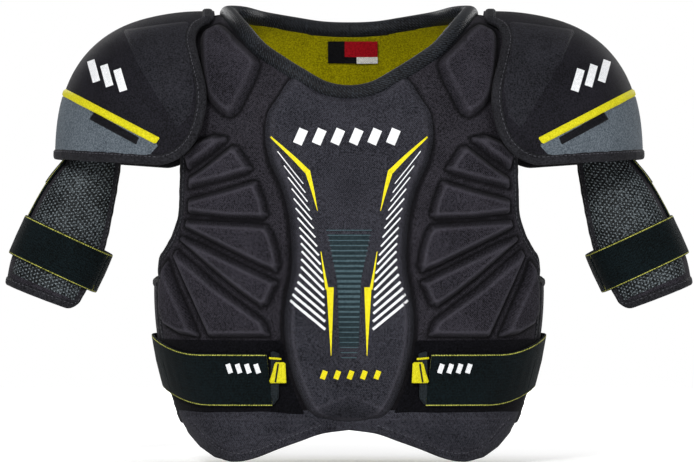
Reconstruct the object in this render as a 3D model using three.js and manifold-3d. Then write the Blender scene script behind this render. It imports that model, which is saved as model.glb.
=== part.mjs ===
// Ice hockey shoulder pads: a padded vest with shoulder caps, upper-arm guards and elastic straps.
// Millimetres, +Z up, front facing -Y, the wearer's left side at +X. The origin is the middle of the
// shoulder line, at the height where the pads rest on the wearer's shoulders.
import * as THREE from "three";
import { mergeVertices } from "three/addons/utils/BufferGeometryUtils.js";
import Module from "manifold-3d";

const wasm = await Module();
wasm.setup();

// ---- driving dimensions ----
const GAP = 0.3; // air left between touching pieces
const RAD = Math.PI / 180;

const TORSO = {
  widest: 197, // half width at the waist
  widestZ: -250,
  taperBelow: 0.0016, // how fast the half width falls off below and above the widest level, per mm
  taperAbove: 0.0002,
  chestDepth: 130, // front surface at the chest
  backDepth: 112,
  depthTaper: 0.00015,
  chestZ: -130, // where the upright walls end and the shoulder arch begins
  shoulderTop: 30,
  shoulderFrom: 110, // half width at which the shoulder starts to slope down
  shoulderSlope: 0.0045,
  shoulderPower: 1.9,
  neckRise: 22, // how far the panels would stand above the shoulders at the neck
  neckReach: 115,
  planPower: 2.6, // squareness of the plan section
  archPower: 2.2, // squareness of the shoulder arch
};
const PANEL = { thickness: 7, edgeAngle: 74 * RAD, hemZ: -372, yokeHemZ: -139 };
const LINER = 1.6; // thickness of the lining, and the foam left out between it and the panel
const LINER_GAP = 1.6;
const PAD_HEIGHT = 8;
const STERNUM = { plate: 2.3, height: 13 };
const COLLAR_RADIUS = 8.2;
const CAP = {
  centre: [128, 0, -126],
  half: [169, 122, 160],
  power: 2.7,
  spread: 79 * RAD, // how far the dome turns to the front and to the back
  cover: 2.2,
  plate: 2.2,
  binding: 11,
};
const ARM = {
  guard: 3,
  plate: 2,
  plateGap: 2,
  plateHalfAngle: 80 * RAD,
  power: 2.4,
  from: -150 * RAD, // the sleeve is open along its inner side, between these angles from outwards
  to: 112 * RAD,
};
const WEBBING = 2.4;
const WAIST_STRAP = { height: 52, frontZ: -336, rise: 18, inner: 78 };

// ---- materials ----
const finish = (color, roughness) => new THREE.MeshStandardMaterial({ color, roughness, metalness: 0 });
const cloth = (color, roughness = 0.85) => finish(color, roughness);
const MATERIAL = {
  shell: cloth(0x2b2a31),
  pad: cloth(0x302f37),
  liner: cloth(0xc9c400),
  collar: cloth(0x17191c, 0.6),
  elastic: cloth(0x13201f),
  loop: cloth(0x111015, 0.95),
  accent: cloth(0xe3d81a, 0.6),
  grey: cloth(0x59626a),
  black: cloth(0x1b1b20),
  mesh: cloth(0x23292b, 0.7),
  label: cloth(0xb01020, 0.6),
  plastic: finish(0xd8d8d4, 0.45),
};

// ---- the torso's surface ----
const clamp01 = (v) => Math.min(1, Math.max(0, v));
const smooth = (a, b, v) => {
  const t = clamp01((v - a) / (b - a));
  return t * t * (3 - 2 * t);
};
const signedPower = (v, p) => Math.sign(v) * Math.abs(v) ** p;

function halfWidth(z) {
  const d = z - TORSO.widestZ;
  return TORSO.widest - (d < 0 ? TORSO.taperBelow : TORSO.taperAbove) * d * d;
}

function depth(z, side) {
  const d = Math.min(0, z - TORSO.chestZ);
  return (side < 0 ? TORSO.chestDepth : TORSO.backDepth) - TORSO.depthTaper * d * d;
}

function ridge(x) {
  const out = Math.max(0, Math.abs(x) - TORSO.shoulderFrom);
  const neck = Math.max(0, 1 - (x / TORSO.neckReach) ** 2);
  return TORSO.shoulderTop - TORSO.shoulderSlope * out ** TORSO.shoulderPower + TORSO.neckRise * neck;
}

// A point of the torso: around is the angle from the centre line, up is a height below the chest level,
// or above it chestZ plus the angle climbed over the shoulder, in degrees. side is -1 front, +1 back.
function torsoBase(around, up, side) {
  const climb = Math.max(0, up - TORSO.chestZ) * RAD;
  const wall = Math.min(up, TORSO.chestZ);
  const plan = 2 / TORSO.planPower;
  const arch = 2 / TORSO.archPower;
  const x = halfWidth(wall) * signedPower(Math.sin(around), plan);
  const z = wall + (ridge(x) - TORSO.chestZ) * Math.sin(climb) ** arch;
  const y = depth(wall, side) * Math.cos(around) ** plan * Math.cos(climb) ** arch;
  return new THREE.Vector3(x, side * y, z);
}

// The surface's depth at a place seen from the front.
function surfaceY(x, z, side) {
  const wall = Math.min(z, TORSO.chestZ);
  const across = Math.max(0, 1 - Math.abs(x / halfWidth(wall)) ** TORSO.planPower) ** (1 / TORSO.planPower);
  const climbed = clamp01((z - TORSO.chestZ) / (ridge(x) - TORSO.chestZ));
  return side * depth(wall, side) * across * (1 - climbed ** TORSO.archPower) ** (1 / TORSO.archPower);
}

// Moves a surface's point by t along its normal, away from the inside point.
function offset(base, u, v, t, inside) {
  const step = 1e-3;
  const p = base(u, v);
  const du = base(u + step, v).sub(base(u - step, v));
  const dv = base(u, v + step).sub(base(u, v - step));
  const n = du.cross(dv).normalize();
  return p.addScaledVector(n, n.dot(p.clone().sub(inside)) < 0 ? -t : t);
}

const INSIDE = new THREE.Vector3(0, 0, -200);
const TORSO_TOP = TORSO.chestZ + 89; // just short of the ridge, whose own normal is level
const torsoPoint = (side) => (around, up, t) =>
  offset((a, b) => torsoBase(a, b, side), around, Math.min(up, TORSO_TOP), t, INSIDE);

// ---- solids ----
function toGeometry(points, faces) {
  let volume = 0;
  for (const [a, b, c] of faces) {
    volume += points[a].dot(points[b].clone().cross(points[c]));
  }
  const index = faces.flatMap(([a, b, c]) => (volume < 0 ? [a, c, b] : [a, b, c]));
  const g = new THREE.BufferGeometry().setFromPoints(points);
  return g.setIndex(index);
}

// A closed shell between offsets t0 and t1 of a surface, over a grid of nu by nv cells.
// place(u, v, t) has u and v from 0 to 1.
function slab(place, nu, nv, t0, t1) {
  const points = [];
  for (const t of [t0, t1]) {
    for (let i = 0; i <= nu; i++) {
      for (let j = 0; j <= nv; j++) points.push(place(i / nu, j / nv, t));
    }
  }
  const at = (layer, i, j) => layer * (nu + 1) * (nv + 1) + i * (nv + 1) + j;
  const faces = [];
  const quad = (a, b, c, d) => faces.push([a, b, c], [a, c, d]);
  for (let i = 0; i < nu; i++) {
    for (let j = 0; j < nv; j++) {
      quad(at(1, i, j), at(1, i + 1, j), at(1, i + 1, j + 1), at(1, i, j + 1));
      quad(at(0, i, j), at(0, i, j + 1), at(0, i + 1, j + 1), at(0, i + 1, j));
    }
  }
  for (let i = 0; i < nu; i++) {
    quad(at(0, i, 0), at(0, i + 1, 0), at(1, i + 1, 0), at(1, i, 0));
    quad(at(1, i, nv), at(1, i + 1, nv), at(0, i + 1, nv), at(0, i, nv));
  }
  for (let j = 0; j < nv; j++) {
    quad(at(1, 0, j), at(1, 0, j + 1), at(0, 0, j + 1), at(0, 0, j));
    quad(at(0, nu, j), at(0, nu, j + 1), at(1, nu, j + 1), at(1, nu, j));
  }
  return toGeometry(points, faces);
}

function solid(geometry) {
  const g = geometry.clone();
  g.deleteAttribute("normal");
  g.deleteAttribute("uv");
  const m = mergeVertices(g, 1e-4);
  const vertProperties = m.attributes.position.array;
  const triVerts = new Uint32Array(m.index.array);
  return new wasm.Manifold(new wasm.Mesh({ numProp: 3, vertProperties, triVerts }));
}

function geometryOf(manifold) {
  const m = manifold.getMesh();
  const g = new THREE.BufferGeometry();
  g.setAttribute("position", new THREE.BufferAttribute(new Float32Array(m.vertProperties), 3));
  return g.setIndex(new THREE.BufferAttribute(new Uint32Array(m.triVerts), 1));
}

// A column along Y whose section is an outline of [x, z] points, between two depths.
function columnBetween(points, fromY, toY) {
  const shape = new THREE.Shape(points.map(([x, z]) => new THREE.Vector2(x, z)));
  const g = new THREE.ExtrudeGeometry(shape, { depth: toY - fromY, bevelEnabled: false });
  g.rotateX(Math.PI / 2);
  return solid(g.translate(0, toY, 0));
}
const REACH = 200; // further than any piece goes to the front or back
const column = (points, side) => columnBetween(points, Math.min(0, side * REACH), Math.max(0, side * REACH));
const throughColumn = (points) => columnBetween(points, -REACH, REACH);

// The largest body of a cut solid, without its trimmings.
const mainBody = (cut) => cut.decompose().reduce((a, b) => (a.volume() > b.volume() ? a : b));

const mirrored = (half) => [...half, ...half.slice().reverse().map(([x, z]) => [-x, z])];
const curved = (points, closed, count) =>
  new THREE.CatmullRomCurve3(points.map(([x, z]) => new THREE.Vector3(x, 0, z)), closed, "centripetal")
    .getSpacedPoints(count)
    .slice(0, closed ? -1 : undefined)
    .map((p) => [p.x, p.z]);

// Moves each corner of an anticlockwise outline inwards by d.
function inset(points, d) {
  const n = points.length;
  return points.map(([x, z], i) => {
    const [ax, az] = points[(i + n - 1) % n];
    const [bx, bz] = points[(i + 1) % n];
    const length = Math.hypot(bx - ax, bz - az);
    return [x - (d * (bz - az)) / length, z + (d * (bx - ax)) / length];
  });
}

// ---- outlines, as [x, z] seen from the front, for the +X half ----
const NECK_FRONT = [[0, -53], [24, -49], [48, -36], [70, -22], [88, -9], [108, 14], [119, 27]];
const NECK_BACK = [[0, 17], [28, 18], [56, 22], [88, 27], [108, 31]];
const ARMHOLE = [
  [178, 30], [170, -40], [167, -80], [168, -118], [169, -155], [170, -173], [178, -196], [190, -215],
];
const YOKE_SIDE = [[178, 30], [168, -40], [163, -80], [158, -115], [150, -139]];
const STERNUM_HALF = [
  [0, -64], [30, -55], [57, -40], [73, -57], [82, -72], [84, -86], [84, -99], [79, -121], [68, -146],
  [61, -172], [58, -200], [58, -228], [62, -250], [65, -275], [64, -300], [58, -328], [50, -350],
  [42, -366], [33, -377], [20, -383], [0, -385],
];
const BELLY = [
  [0, -374], [172, -374], [169, -383], [160, -391], [148, -404], [133, -414], [116, -418], [98, -415],
  [70, -404], [48, -396], [28, -389], [0, -385],
];
const CLAVICLE = [
  [150, 8], [128, 18], [90, -20], [107, -70], [116, -76], [127, -76], [140, -62], [147, -30],
];
const CHEST_PADS = [
  [[126, -94], [117, -98], [136, -112], [158, -128], [163, -112], [150, -100]],
  [[113, -106], [94, -126], [94, -131], [159, -154], [160, -137]],
  [[93, -138], [86, -150], [79, -175], [160, -172], [160, -160]],
  [[79, -183], [70, -224], [70, -230], [162, -188], [162, -177]],
  [[168, -192], [75, -237], [66, -241], [82, -265], [170, -198]],
  [[171, -202], [82, -274], [76, -295], [142, -296], [172, -236], [183, -219]],
  [[186, -224], [175, -240], [149, -296], [171, -296], [188, -284], [193, -258], [191, -238]],
];
const LOOP_PATCH = [
  [67, -299], [61, -328], [53, -350], [45, -367], [43, -370], [179, -370], [179, -299],
];
const CAP_OUTLINE = [
  [320, 60], [133, 60], [133, 27], [150, 17], [155, 4], [152, -13], [148, -28], [144, -45],
  [143, -62], [146, -80], [152, -97], [162, -110], [176, -119], [194, -123], [214, -123], [250, -121],
  [293, -116], [320, -114],
];
const SCAPULA = [
  [150, 0], [108, 2], [60, -14], [44, -60], [52, -126], [110, -130], [146, -118], [156, -60],
];
const BACK = [
  [0, -146], [150, -146], [154, -165], [164, -200], [182, -232], [230, -240], [230, -340], [150, -366],
  [70, -375], [0, -375],
];
const STERNUM_PLATE = [
  [0, -80], [58, -84], [60, -110], [40, -160], [38, -240], [44, -300], [20, -360], [0, -360],
];
const PULL_TAB = [[68, -321], [82, -321], [88, -341], [68, -341]];
const SPINE = [[0, -154], [26, -158], [34, -200], [38, -250], [34, -310], [24, -348], [0, -356]];
const LABEL = [[-25, -22], [25, -22], [25, 4], [-25, 4]];
// The caps' stripe: its upper edge's inner end, its slope, and its height.
const STRIPE = { x: 173, z: -104, slope: 0.5175, drop: 11 };
// Down the arm: [x, z, tilt in degrees, half width, half depth].
const ARM_STATIONS = [
  [248, -92, 17, 24, 27], [254, -118, 19, 27, 28], [268, -152, 22, 37, 36], [283, -193, 25, 44, 44],
  [300, -231, 25, 44, 46], [310, -256, 21, 39, 44],
];

// ---- the pieces ----
const root = new THREE.Group();
function add(name, geometry, material, flipped = false) {
  const mesh = new THREE.Mesh(geometry, material);
  mesh.name = name;
  if (flipped) mesh.scale.x = -1;
  root.add(mesh);
}
function addPair(name, geometry, material) {
  add(`${name}_left`, geometry, material);
  add(`${name}_right`, geometry, material, true);
}
const addSolid = (name, cut, material) => add(name, geometryOf(mainBody(cut)), material);
const addSolidPair = (name, cut, material) => addPair(name, geometryOf(mainBody(cut)), material);

// A layer of the torso between two offsets, on one side, cut to an outline seen from the front.
// Layers share their facets, so that they lie flat on each other. A hidden inner layer has a quarter of them.
const LAYER = { bottom: -425, across: 16, up: 12 };
const LINER_FINENESS = 0.5;
function torsoLayer(side, t0, t1, outline, fineness = 1) {
  const place = torsoPoint(side);
  const level = (v) => THREE.MathUtils.lerp(LAYER.bottom, TORSO_TOP, v);
  const at = (u, v, t) => place(PANEL.edgeAngle * (2 * u - 1), level(v), t);
  const shoulderSide = new THREE.BoxGeometry(500, 260, 700).translate(0, side * (130 + GAP), -200);
  return solid(slab(at, LAYER.across * fineness, LAYER.up * fineness, t0, t1))
    .intersect(column(outline, side))
    .intersect(solid(shoulderSide))
    .subtract(collarCutter);
}

// Collar roll: a padded ring around the neck.
function collarRing(radius, sides) {
  const on = (points, side) => points.map(([x, z]) => new THREE.Vector3(x, surfaceY(x, z, side) * 0.97, z));
  const front = on(NECK_FRONT, -1);
  const back = on(NECK_BACK, 1);
  const leftHalf = [...front, new THREE.Vector3(121.5, 2, 31), ...back.slice().reverse()];
  const rightHalf = leftHalf.slice(1, -1).reverse().map((p) => new THREE.Vector3(-p.x, p.y, p.z));
  const path = new THREE.CatmullRomCurve3([...leftHalf, ...rightHalf], true, "centripetal");
  return new THREE.TubeGeometry(path, 44, radius, sides, true);
}
const collarCutter = solid(collarRing((COLLAR_RADIUS + GAP) / Math.cos(30 * RAD), 6));
add("collar_roll", collarRing(COLLAR_RADIUS, 8), MATERIAL.collar);

// Chest panel: the laminated front of the vest, with a V neck and two armholes.
const chestOutline = mirrored([
  ...curved([...NECK_FRONT, [121, 60]], false, 9), [178, 60],
  ...curved(ARMHOLE, false, 8), [230, -222], [230, PANEL.hemZ], [0, PANEL.hemZ],
]);
addSolid("chest_panel", torsoLayer(-1, -PANEL.thickness, 0, chestOutline), MATERIAL.shell);
const linerTop = -PANEL.thickness - LINER_GAP;
const liner = (side, outline) => torsoLayer(side, linerTop - LINER, linerTop, outline, LINER_FINENESS);
addSolid("chest_liner", liner(-1, chestOutline), MATERIAL.liner);

// Yoke: the same laminate over the shoulders and down to the shoulder blades.
const yokeOutline = mirrored([
  ...curved([...NECK_BACK, [121, 60]], false, 6), [178, 60],
  ...curved(YOKE_SIDE, false, 5), [0, PANEL.yokeHemZ],
]);
addSolid("yoke_panel", torsoLayer(1, -PANEL.thickness, 0, yokeOutline), MATERIAL.shell);
addSolid("yoke_liner", liner(1, yokeOutline), MATERIAL.liner);

// Size label, sewn to the lining under the back of the collar.
const LABEL_THICKNESS = 0.8;
const labelTop = linerTop - LINER - GAP;
const label = torsoLayer(1, labelTop - LABEL_THICKNESS, labelTop, LABEL, LINER_FINENESS);
addSolid("neck_label", label, MATERIAL.label);

// Raised pads of the front.
const frontPad = (outline) => torsoLayer(-1, GAP, PAD_HEIGHT, outline);
CHEST_PADS.forEach((outline, i) => addSolidPair(`chest_pad_${i + 1}`, frontPad(outline), MATERIAL.pad));
addSolidPair("clavicle_pad", frontPad(CLAVICLE), MATERIAL.pad);

// Breastbone pad over its moulded plate.
const sternumPlate = torsoLayer(-1, GAP, STERNUM.plate, mirrored(STERNUM_PLATE));
addSolid("sternum_plate", sternumPlate, MATERIAL.plastic);
const sternumPad = torsoLayer(-1, STERNUM.plate + GAP, STERNUM.height, mirrored(STERNUM_HALF));
addSolid("sternum_pad", sternumPad, MATERIAL.pad);

// Loop patches that the waist straps' hooks close on.
const LOOP_PILE = 2;
addSolidPair("loop_patch", torsoLayer(-1, GAP, LOOP_PILE, LOOP_PATCH), MATERIAL.loop);

// Belly guard: two lobes hanging below the chest panel.
const BELLY_RISE = 1;
addSolid("belly_guard", torsoLayer(-1, -PANEL.thickness, BELLY_RISE, mirrored(BELLY)), MATERIAL.shell);

// Shoulder-blade pads on the yoke.
addSolidPair("scapula_pad", torsoLayer(1, GAP, PAD_HEIGHT, SCAPULA), MATERIAL.pad);

// Back panel, its lining and the spine pad.
addSolid("back_panel", torsoLayer(1, -PANEL.thickness, 0, mirrored(BACK)), MATERIAL.shell);
addSolid("back_liner", liner(1, mirrored(BACK)), MATERIAL.liner);
const SPINE_HEIGHT = 12;
addSolid("spine_pad", torsoLayer(1, GAP, SPINE_HEIGHT, mirrored(SPINE)), MATERIAL.pad);

// Side wings: soft panels that carry the back round to the front panel's edge.
// Around the side, the angle runs from the front centre line through 90 degrees to the back.
function sideBase(angle, z) {
  const y = THREE.MathUtils.lerp(depth(z, -1), depth(z, 1), smooth(70, 110, angle / RAD));
  const x = halfWidth(z) * Math.abs(Math.sin(angle)) ** (2 / TORSO.planPower);
  return new THREE.Vector3(x, -y * signedPower(Math.cos(angle), 2 / TORSO.planPower), z);
}
function aroundSide(angle, z, t) {
  // The plan curve has no slope exactly at the side, so the normal is taken just beside it.
  const beside = angle < Math.PI / 2 ? Math.min(angle, 89.9 * RAD) : Math.max(angle, 90.1 * RAD);
  return offset(sideBase, beside, z, t, INSIDE);
}
const WING = { from: 74.6 * RAD, to: 105.4 * RAD, top: -240, topRise: 6, bottom: -345, lobe: 45 };
function wingPlace(u, v, t) {
  const lobe = WING.lobe * Math.sin(Math.PI * Math.min(1, u * 1.35)) ** 0.6 * (1 - 0.5 * u);
  const z = THREE.MathUtils.lerp(WING.bottom - lobe, WING.top + WING.topRise * u, v);
  return aroundSide(THREE.MathUtils.lerp(WING.from, WING.to, u), z, t);
}
addPair("side_wing", slab(wingPlace, 7, 3, -PANEL.thickness, 0), MATERIAL.shell);

// Waist straps: elastic webbing from the back panel round the side to the loop patch, in two halves.
function strapPlace(from, to) {
  return (u, v, t) => {
    const angle = from + (to - from) * u;
    const centre = WAIST_STRAP.frontZ + WAIST_STRAP.rise * smooth(45, 90, angle / RAD);
    return aroundSide(angle, centre + WAIST_STRAP.height * (v - 0.5), t);
  };
}
const STRAP_LIFT = 3;
const STRAP_SPLIT = 71.5 * RAD;
const STRAP_SPLIT_GAP = 0.004; // radians either side of the split
const STRAP_END = 124 * RAD;
const innerShare = WAIST_STRAP.inner / halfWidth(WAIST_STRAP.frontZ);
const strapInner = Math.asin(innerShare ** (TORSO.planPower / 2));
const strap = (from, to) => slab(strapPlace(from, to), 8, 1, STRAP_LIFT, STRAP_LIFT + WEBBING);
addPair("waist_strap_front", strap(strapInner, STRAP_SPLIT - STRAP_SPLIT_GAP), MATERIAL.elastic);
addPair("waist_strap_side", strap(STRAP_SPLIT + STRAP_SPLIT_GAP, STRAP_END), MATERIAL.elastic);
const TAB = { lift: 0.8, thickness: 2 };
const tabBase = STRAP_LIFT + WEBBING + TAB.lift;
addSolidPair("pull_tab", torsoLayer(-1, tabBase, tabBase + TAB.thickness, PULL_TAB), MATERIAL.accent);

// Shoulder caps: a domed plate under a fabric cover with a stripe, a lower panel and a bound edge.
// swing goes from outwards to up, and turn from front to back.
const CAP_CENTRE = new THREE.Vector3(...CAP.centre);
function capBase(swing, turn) {
  const [a, b, c] = CAP.half;
  const level = 2 / CAP.power;
  return new THREE.Vector3(
    CAP.centre[0] + a * Math.cos(turn) * Math.abs(Math.cos(swing)) ** level,
    b * Math.sin(turn),
    CAP.centre[2] + c * Math.cos(turn) * Math.abs(Math.sin(swing)) ** level,
  );
}
function capLayer(t0, t1) {
  const swing = (u) => THREE.MathUtils.lerp(1, 89, u) * RAD;
  const place = (u, v, t) => offset(capBase, swing(u), CAP.spread * (2 * v - 1), t, CAP_CENTRE);
  return solid(slab(place, 6, 10, t0, t1));
}
const capCover = capLayer(-CAP.cover, 0);
const capInset = inset(CAP_OUTLINE, CAP.binding);
const innerInset = inset(capInset, 3 * GAP);
const capBinding = capCover.intersect(throughColumn(CAP_OUTLINE)).subtract(throughColumn(capInset));
addSolidPair("cap_binding", capBinding, MATERIAL.black);
const BAND = { from: 100, to: 340, far: 250 }; // x ends, and a drop beyond the cap's top and bottom
const stripeAt = (x, drop) => [x, STRIPE.z + STRIPE.slope * (x - STRIPE.x) - drop];
const slantedBand = (top, bottom) => [
  stripeAt(BAND.from, bottom), stripeAt(BAND.to, bottom), stripeAt(BAND.to, top), stripeAt(BAND.from, top),
];
const coverFace = capCover.intersect(throughColumn(innerInset));
const faceBetween = (top, bottom) => coverFace.intersect(throughColumn(slantedBand(top, bottom)));
addSolidPair("cap_cover", faceBetween(-BAND.far, 0), MATERIAL.black);
addSolidPair("cap_stripe", faceBetween(GAP, STRIPE.drop), MATERIAL.accent);
addSolidPair("cap_lower_panel", faceBetween(STRIPE.drop + GAP, BAND.far), MATERIAL.grey);
const PLATE_MARGIN = 5;
const plateOutline = inset(CAP_OUTLINE, CAP.binding + PLATE_MARGIN);
const plateTop = -CAP.cover - GAP;
const capPlate = capLayer(plateTop - CAP.plate, plateTop).intersect(throughColumn(plateOutline));
addSolidPair("cap_plate", capPlate, MATERIAL.plastic);

// Arm guards: an open sleeve hung under each cap.
function armCurve(columns) {
  const points = ARM_STATIONS.map((station) => new THREE.Vector3(...columns.map((i) => station[i])));
  return new THREE.CatmullRomCurve3(points, false, "catmullrom");
}
const armCentre = armCurve([0, 1, 2]); // x, z and tilt
const armSection = armCurve([3, 4, 2]); // half width and half depth
function armBase(around, along) {
  const c = armCentre.getPoint(clamp01(along));
  const s = armSection.getPoint(clamp01(along));
  const tilt = c.z * RAD;
  const level = 2 / ARM.power;
  const out = s.x * signedPower(Math.cos(around), level);
  return new THREE.Vector3(
    c.x + out * Math.cos(tilt), s.y * signedPower(Math.sin(around), level), c.y + out * Math.sin(tilt),
  );
}
function armLayer({ from, to, top, bottom, inner, outer, cells }) {
  const place = (u, v, t) => {
    const along = THREE.MathUtils.lerp(top, bottom, v);
    const c = armCentre.getPoint(along);
    const inside = new THREE.Vector3(c.x, 0, c.y);
    const within = THREE.MathUtils.clamp(along, 0.002, 0.998);
    return offset(armBase, THREE.MathUtils.lerp(from, to, u), within, t, inside);
  };
  return slab(place, ...cells, inner, outer);
}
const guardSleeve = armLayer({
  from: ARM.from, to: ARM.to, top: 0, bottom: 1, inner: -ARM.guard, outer: 0, cells: [12, 6],
});
addPair("arm_guard", guardSleeve, MATERIAL.mesh);
const armPlateTop = -ARM.guard - ARM.plateGap;
const armPlate = armLayer({
  from: -ARM.plateHalfAngle, to: ARM.plateHalfAngle, top: 0.1, bottom: 0.92,
  inner: armPlateTop - ARM.plate, outer: armPlateTop, cells: [8, 5],
});
addPair("arm_plate", armPlate, MATERIAL.plastic);

// Arm straps: a band sewn round the front of the sleeve, and a flap that hinges on it round the back.
const ARM_STRAP = { top: 0.6, bottom: 0.8, lift: 2, hinge: 26 * RAD, hingeGap: 0.02, end: 204 * RAD };
const armStrap = (from, to) =>
  armLayer({
    from, to, top: ARM_STRAP.top, bottom: ARM_STRAP.bottom,
    inner: ARM_STRAP.lift, outer: ARM_STRAP.lift + WEBBING, cells: [9, 1],
  });
const strapBand = armStrap(ARM.from - 0.03, ARM_STRAP.hinge - ARM_STRAP.hingeGap);
addPair("arm_strap_band", strapBand, MATERIAL.elastic);
const strapFlap = armStrap(ARM_STRAP.hinge + ARM_STRAP.hingeGap, ARM_STRAP.end);
addPair("arm_strap_flap", strapFlap, MATERIAL.elastic);

// Hanger: the webbing that hangs each arm guard inside its cap.
const HANGER = { x: 247, width: 34, top: -50, bottom: -88 };
const hanger = new THREE.BoxGeometry(WEBBING, HANGER.width, HANGER.top - HANGER.bottom);
hanger.translate(HANGER.x, 0, (HANGER.top + HANGER.bottom) / 2);
addPair("arm_hanger", hanger, MATERIAL.elastic);

export default root;
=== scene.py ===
import math

import bpy
import numpy as np
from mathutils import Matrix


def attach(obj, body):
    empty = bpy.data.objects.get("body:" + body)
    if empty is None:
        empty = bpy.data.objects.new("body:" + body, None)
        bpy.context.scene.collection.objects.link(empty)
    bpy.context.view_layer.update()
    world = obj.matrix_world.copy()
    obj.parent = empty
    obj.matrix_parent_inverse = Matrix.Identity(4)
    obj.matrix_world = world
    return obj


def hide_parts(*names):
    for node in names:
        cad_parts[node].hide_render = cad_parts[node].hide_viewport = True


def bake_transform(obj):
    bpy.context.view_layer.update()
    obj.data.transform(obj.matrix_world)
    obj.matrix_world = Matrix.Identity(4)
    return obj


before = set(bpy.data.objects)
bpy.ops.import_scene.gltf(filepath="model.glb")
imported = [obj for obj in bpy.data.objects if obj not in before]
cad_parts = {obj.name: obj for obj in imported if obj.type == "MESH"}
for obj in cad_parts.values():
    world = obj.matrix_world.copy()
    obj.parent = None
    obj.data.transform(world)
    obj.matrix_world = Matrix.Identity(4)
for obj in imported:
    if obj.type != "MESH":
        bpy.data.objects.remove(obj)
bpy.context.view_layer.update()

MM = 0.001

# ---- driving dimensions, the same as the frame's ----
WIDEST, WIDEST_Z = 197.0, -250.0
TAPER_BELOW, TAPER_ABOVE = 0.0016, 0.0002
CHEST_DEPTH, BACK_DEPTH, DEPTH_TAPER = 130.0, 112.0, 0.00015
CHEST_Z = -130.0
SHOULDER_TOP, SHOULDER_FROM, SHOULDER_SLOPE, SHOULDER_POWER = 30.0, 110.0, 0.0045, 1.9
NECK_RISE, NECK_REACH = 22.0, 115.0
PLAN, ARCH = 2.6, 2.2
EDGE_ANGLE = math.radians(74)
HEM_Z, YOKE_HEM_Z = -372.0, -139.0
COLLAR_RADIUS = 8.2
CAP_CENTRE, CAP_HALF, CAP_POWER = (128.0, 0.0, -126.0), (169.0, 122.0, 160.0), 2.7
CAP_U_RANGE, CAP_V_RANGE = np.radians([1.6, 88.4]), np.radians([-79, 79])
ARM_STATIONS = [
    (248, -92, 17, 24, 27), (254, -118, 19, 27, 28), (268, -152, 22, 37, 36),
    (283, -193, 25, 44, 44), (300, -231, 25, 44, 46), (310, -256, 21, 39, 44),
]
ARM_POWER = 2.4
ARM_FROM, ARM_TO = math.radians(-150), math.radians(112)
ARM_STRAP_TOP, ARM_STRAP_BOTTOM, ARM_STRAP_HINGE = 0.6, 0.8, math.radians(26)
STRAP_HEIGHT, STRAP_Z, STRAP_RISE, STRAP_INNER = 52.0, -336.0, 18.0, 78.0
STRAP_SPLIT = math.radians(71.5)

# ---- outlines ----
NECK_FRONT = [(0, -53), (24, -49), (48, -36), (70, -22), (88, -9), (108, 14), (119, 27)]
NECK_BACK = [(0, 17), (28, 18), (56, 22), (88, 27), (108, 31)]
ARMHOLE = [(178, 30), (170, -40), (167, -80), (168, -118), (169, -155), (170, -173), (178, -196), (190, -215)]
YOKE_SIDE = [(178, 30), (168, -40), (163, -80), (158, -115), (150, -139)]
STERNUM = [
    (0, -54), (26, -50), (54, -34), (73, -57), (82, -72), (84, -86), (84, -99), (79, -121), (68, -146),
    (61, -172), (58, -200), (58, -228), (62, -250), (65, -275), (64, -300), (58, -328), (50, -350),
    (42, -366), (33, -377), (20, -383), (0, -385),
]
BELLY = [
    (0, -366), (172, -366), (172, -374), (169, -383), (160, -391), (148, -404), (133, -414), (116, -418),
    (98, -415), (70, -404), (48, -396), (28, -389), (0, -385),
]
CLAVICLE = [
    (150, 10), (131, 20), (121, 14), (107, -1), (86, -21), (92, -40), (101, -57), (109, -73), (119, -78),
    (132, -70), (143, -55), (148, -28),
]
CHEST_PADS = [
    [(119, -96), (121, -101), (135, -113), (150, -123), (160, -130), (164, -114), (150, -99), (134, -93)],
    [(159, -135), (146, -127), (129, -114), (116, -104), (109, -105), (94, -128), (101, -133), (122, -139),
     (143, -144), (160, -148)],
    [(160, -157), (122, -147), (96, -139), (90, -139), (83, -157), (79, -174), (85, -178), (120, -177),
     (160, -172)],
    [(162, -177), (81, -182), (75, -190), (70, -206), (67, -223), (71, -231), (88, -224), (108, -214),
     (130, -203), (150, -193), (163, -186)],
    [(168, -193), (148, -200), (110, -219), (83, -232), (69, -239), (79, -262), (87, -265), (107, -251),
     (128, -234), (150, -215), (168, -199)],
    [(172, -206), (150, -224), (129, -243), (103, -262), (84, -276), (80, -283), (77, -294), (139, -295),
     (148, -275), (157, -255), (166, -235), (175, -214)],
    [(180, -216), (186, -226), (189, -245), (189, -268), (184, -283), (168, -292), (147, -295), (155, -277),
     (164, -257), (173, -237)],
]
LOOP_PATCH = [(66, -297), (61, -328), (53, -350), (45, -367), (43, -371), (183, -371), (187, -297)]
SCAPULA = [(150, 0), (108, 2), (60, -14), (44, -60), (52, -126), (110, -130), (146, -118), (156, -60)]
SPINE = [(0, -154), (26, -158), (34, -200), (38, -250), (34, -310), (24, -348), (0, -356)]
BACK = [
    (0, -146), (150, -146), (154, -165), (164, -200), (182, -232), (192, -240), (189, -340), (150, -366),
    (70, -375), (0, -375),
]
CAP_EDGE = [
    (133, 27), (150, 17), (155, 4), (152, -13), (148, -28), (144, -45), (143, -62), (146, -80), (152, -97),
    (162, -110), (176, -119), (194, -123), (214, -123), (250, -121), (293, -116),
]
STRIPE_X, STRIPE_Z, STRIPE_SLOPE = 173.0, -104.0, 0.5175


# ---- small helpers ----
def ramp(low, high, value):
    t = np.clip((value - low) / (high - low), 0, 1)
    return t * t * (3 - 2 * t)


def soft_cap(value, knee=0.35):
    """The value, held at 1 with a rounded knee."""
    h = np.maximum(knee - np.abs(value - 1), 0) / knee
    return np.minimum(value, 1) - h * h * knee / 4


def signed_power(value, power):
    return np.sign(value) * np.abs(value) ** power


def unit(vectors):
    return vectors / np.maximum(np.linalg.norm(vectors, axis=-1, keepdims=True), 1e-12)


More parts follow.
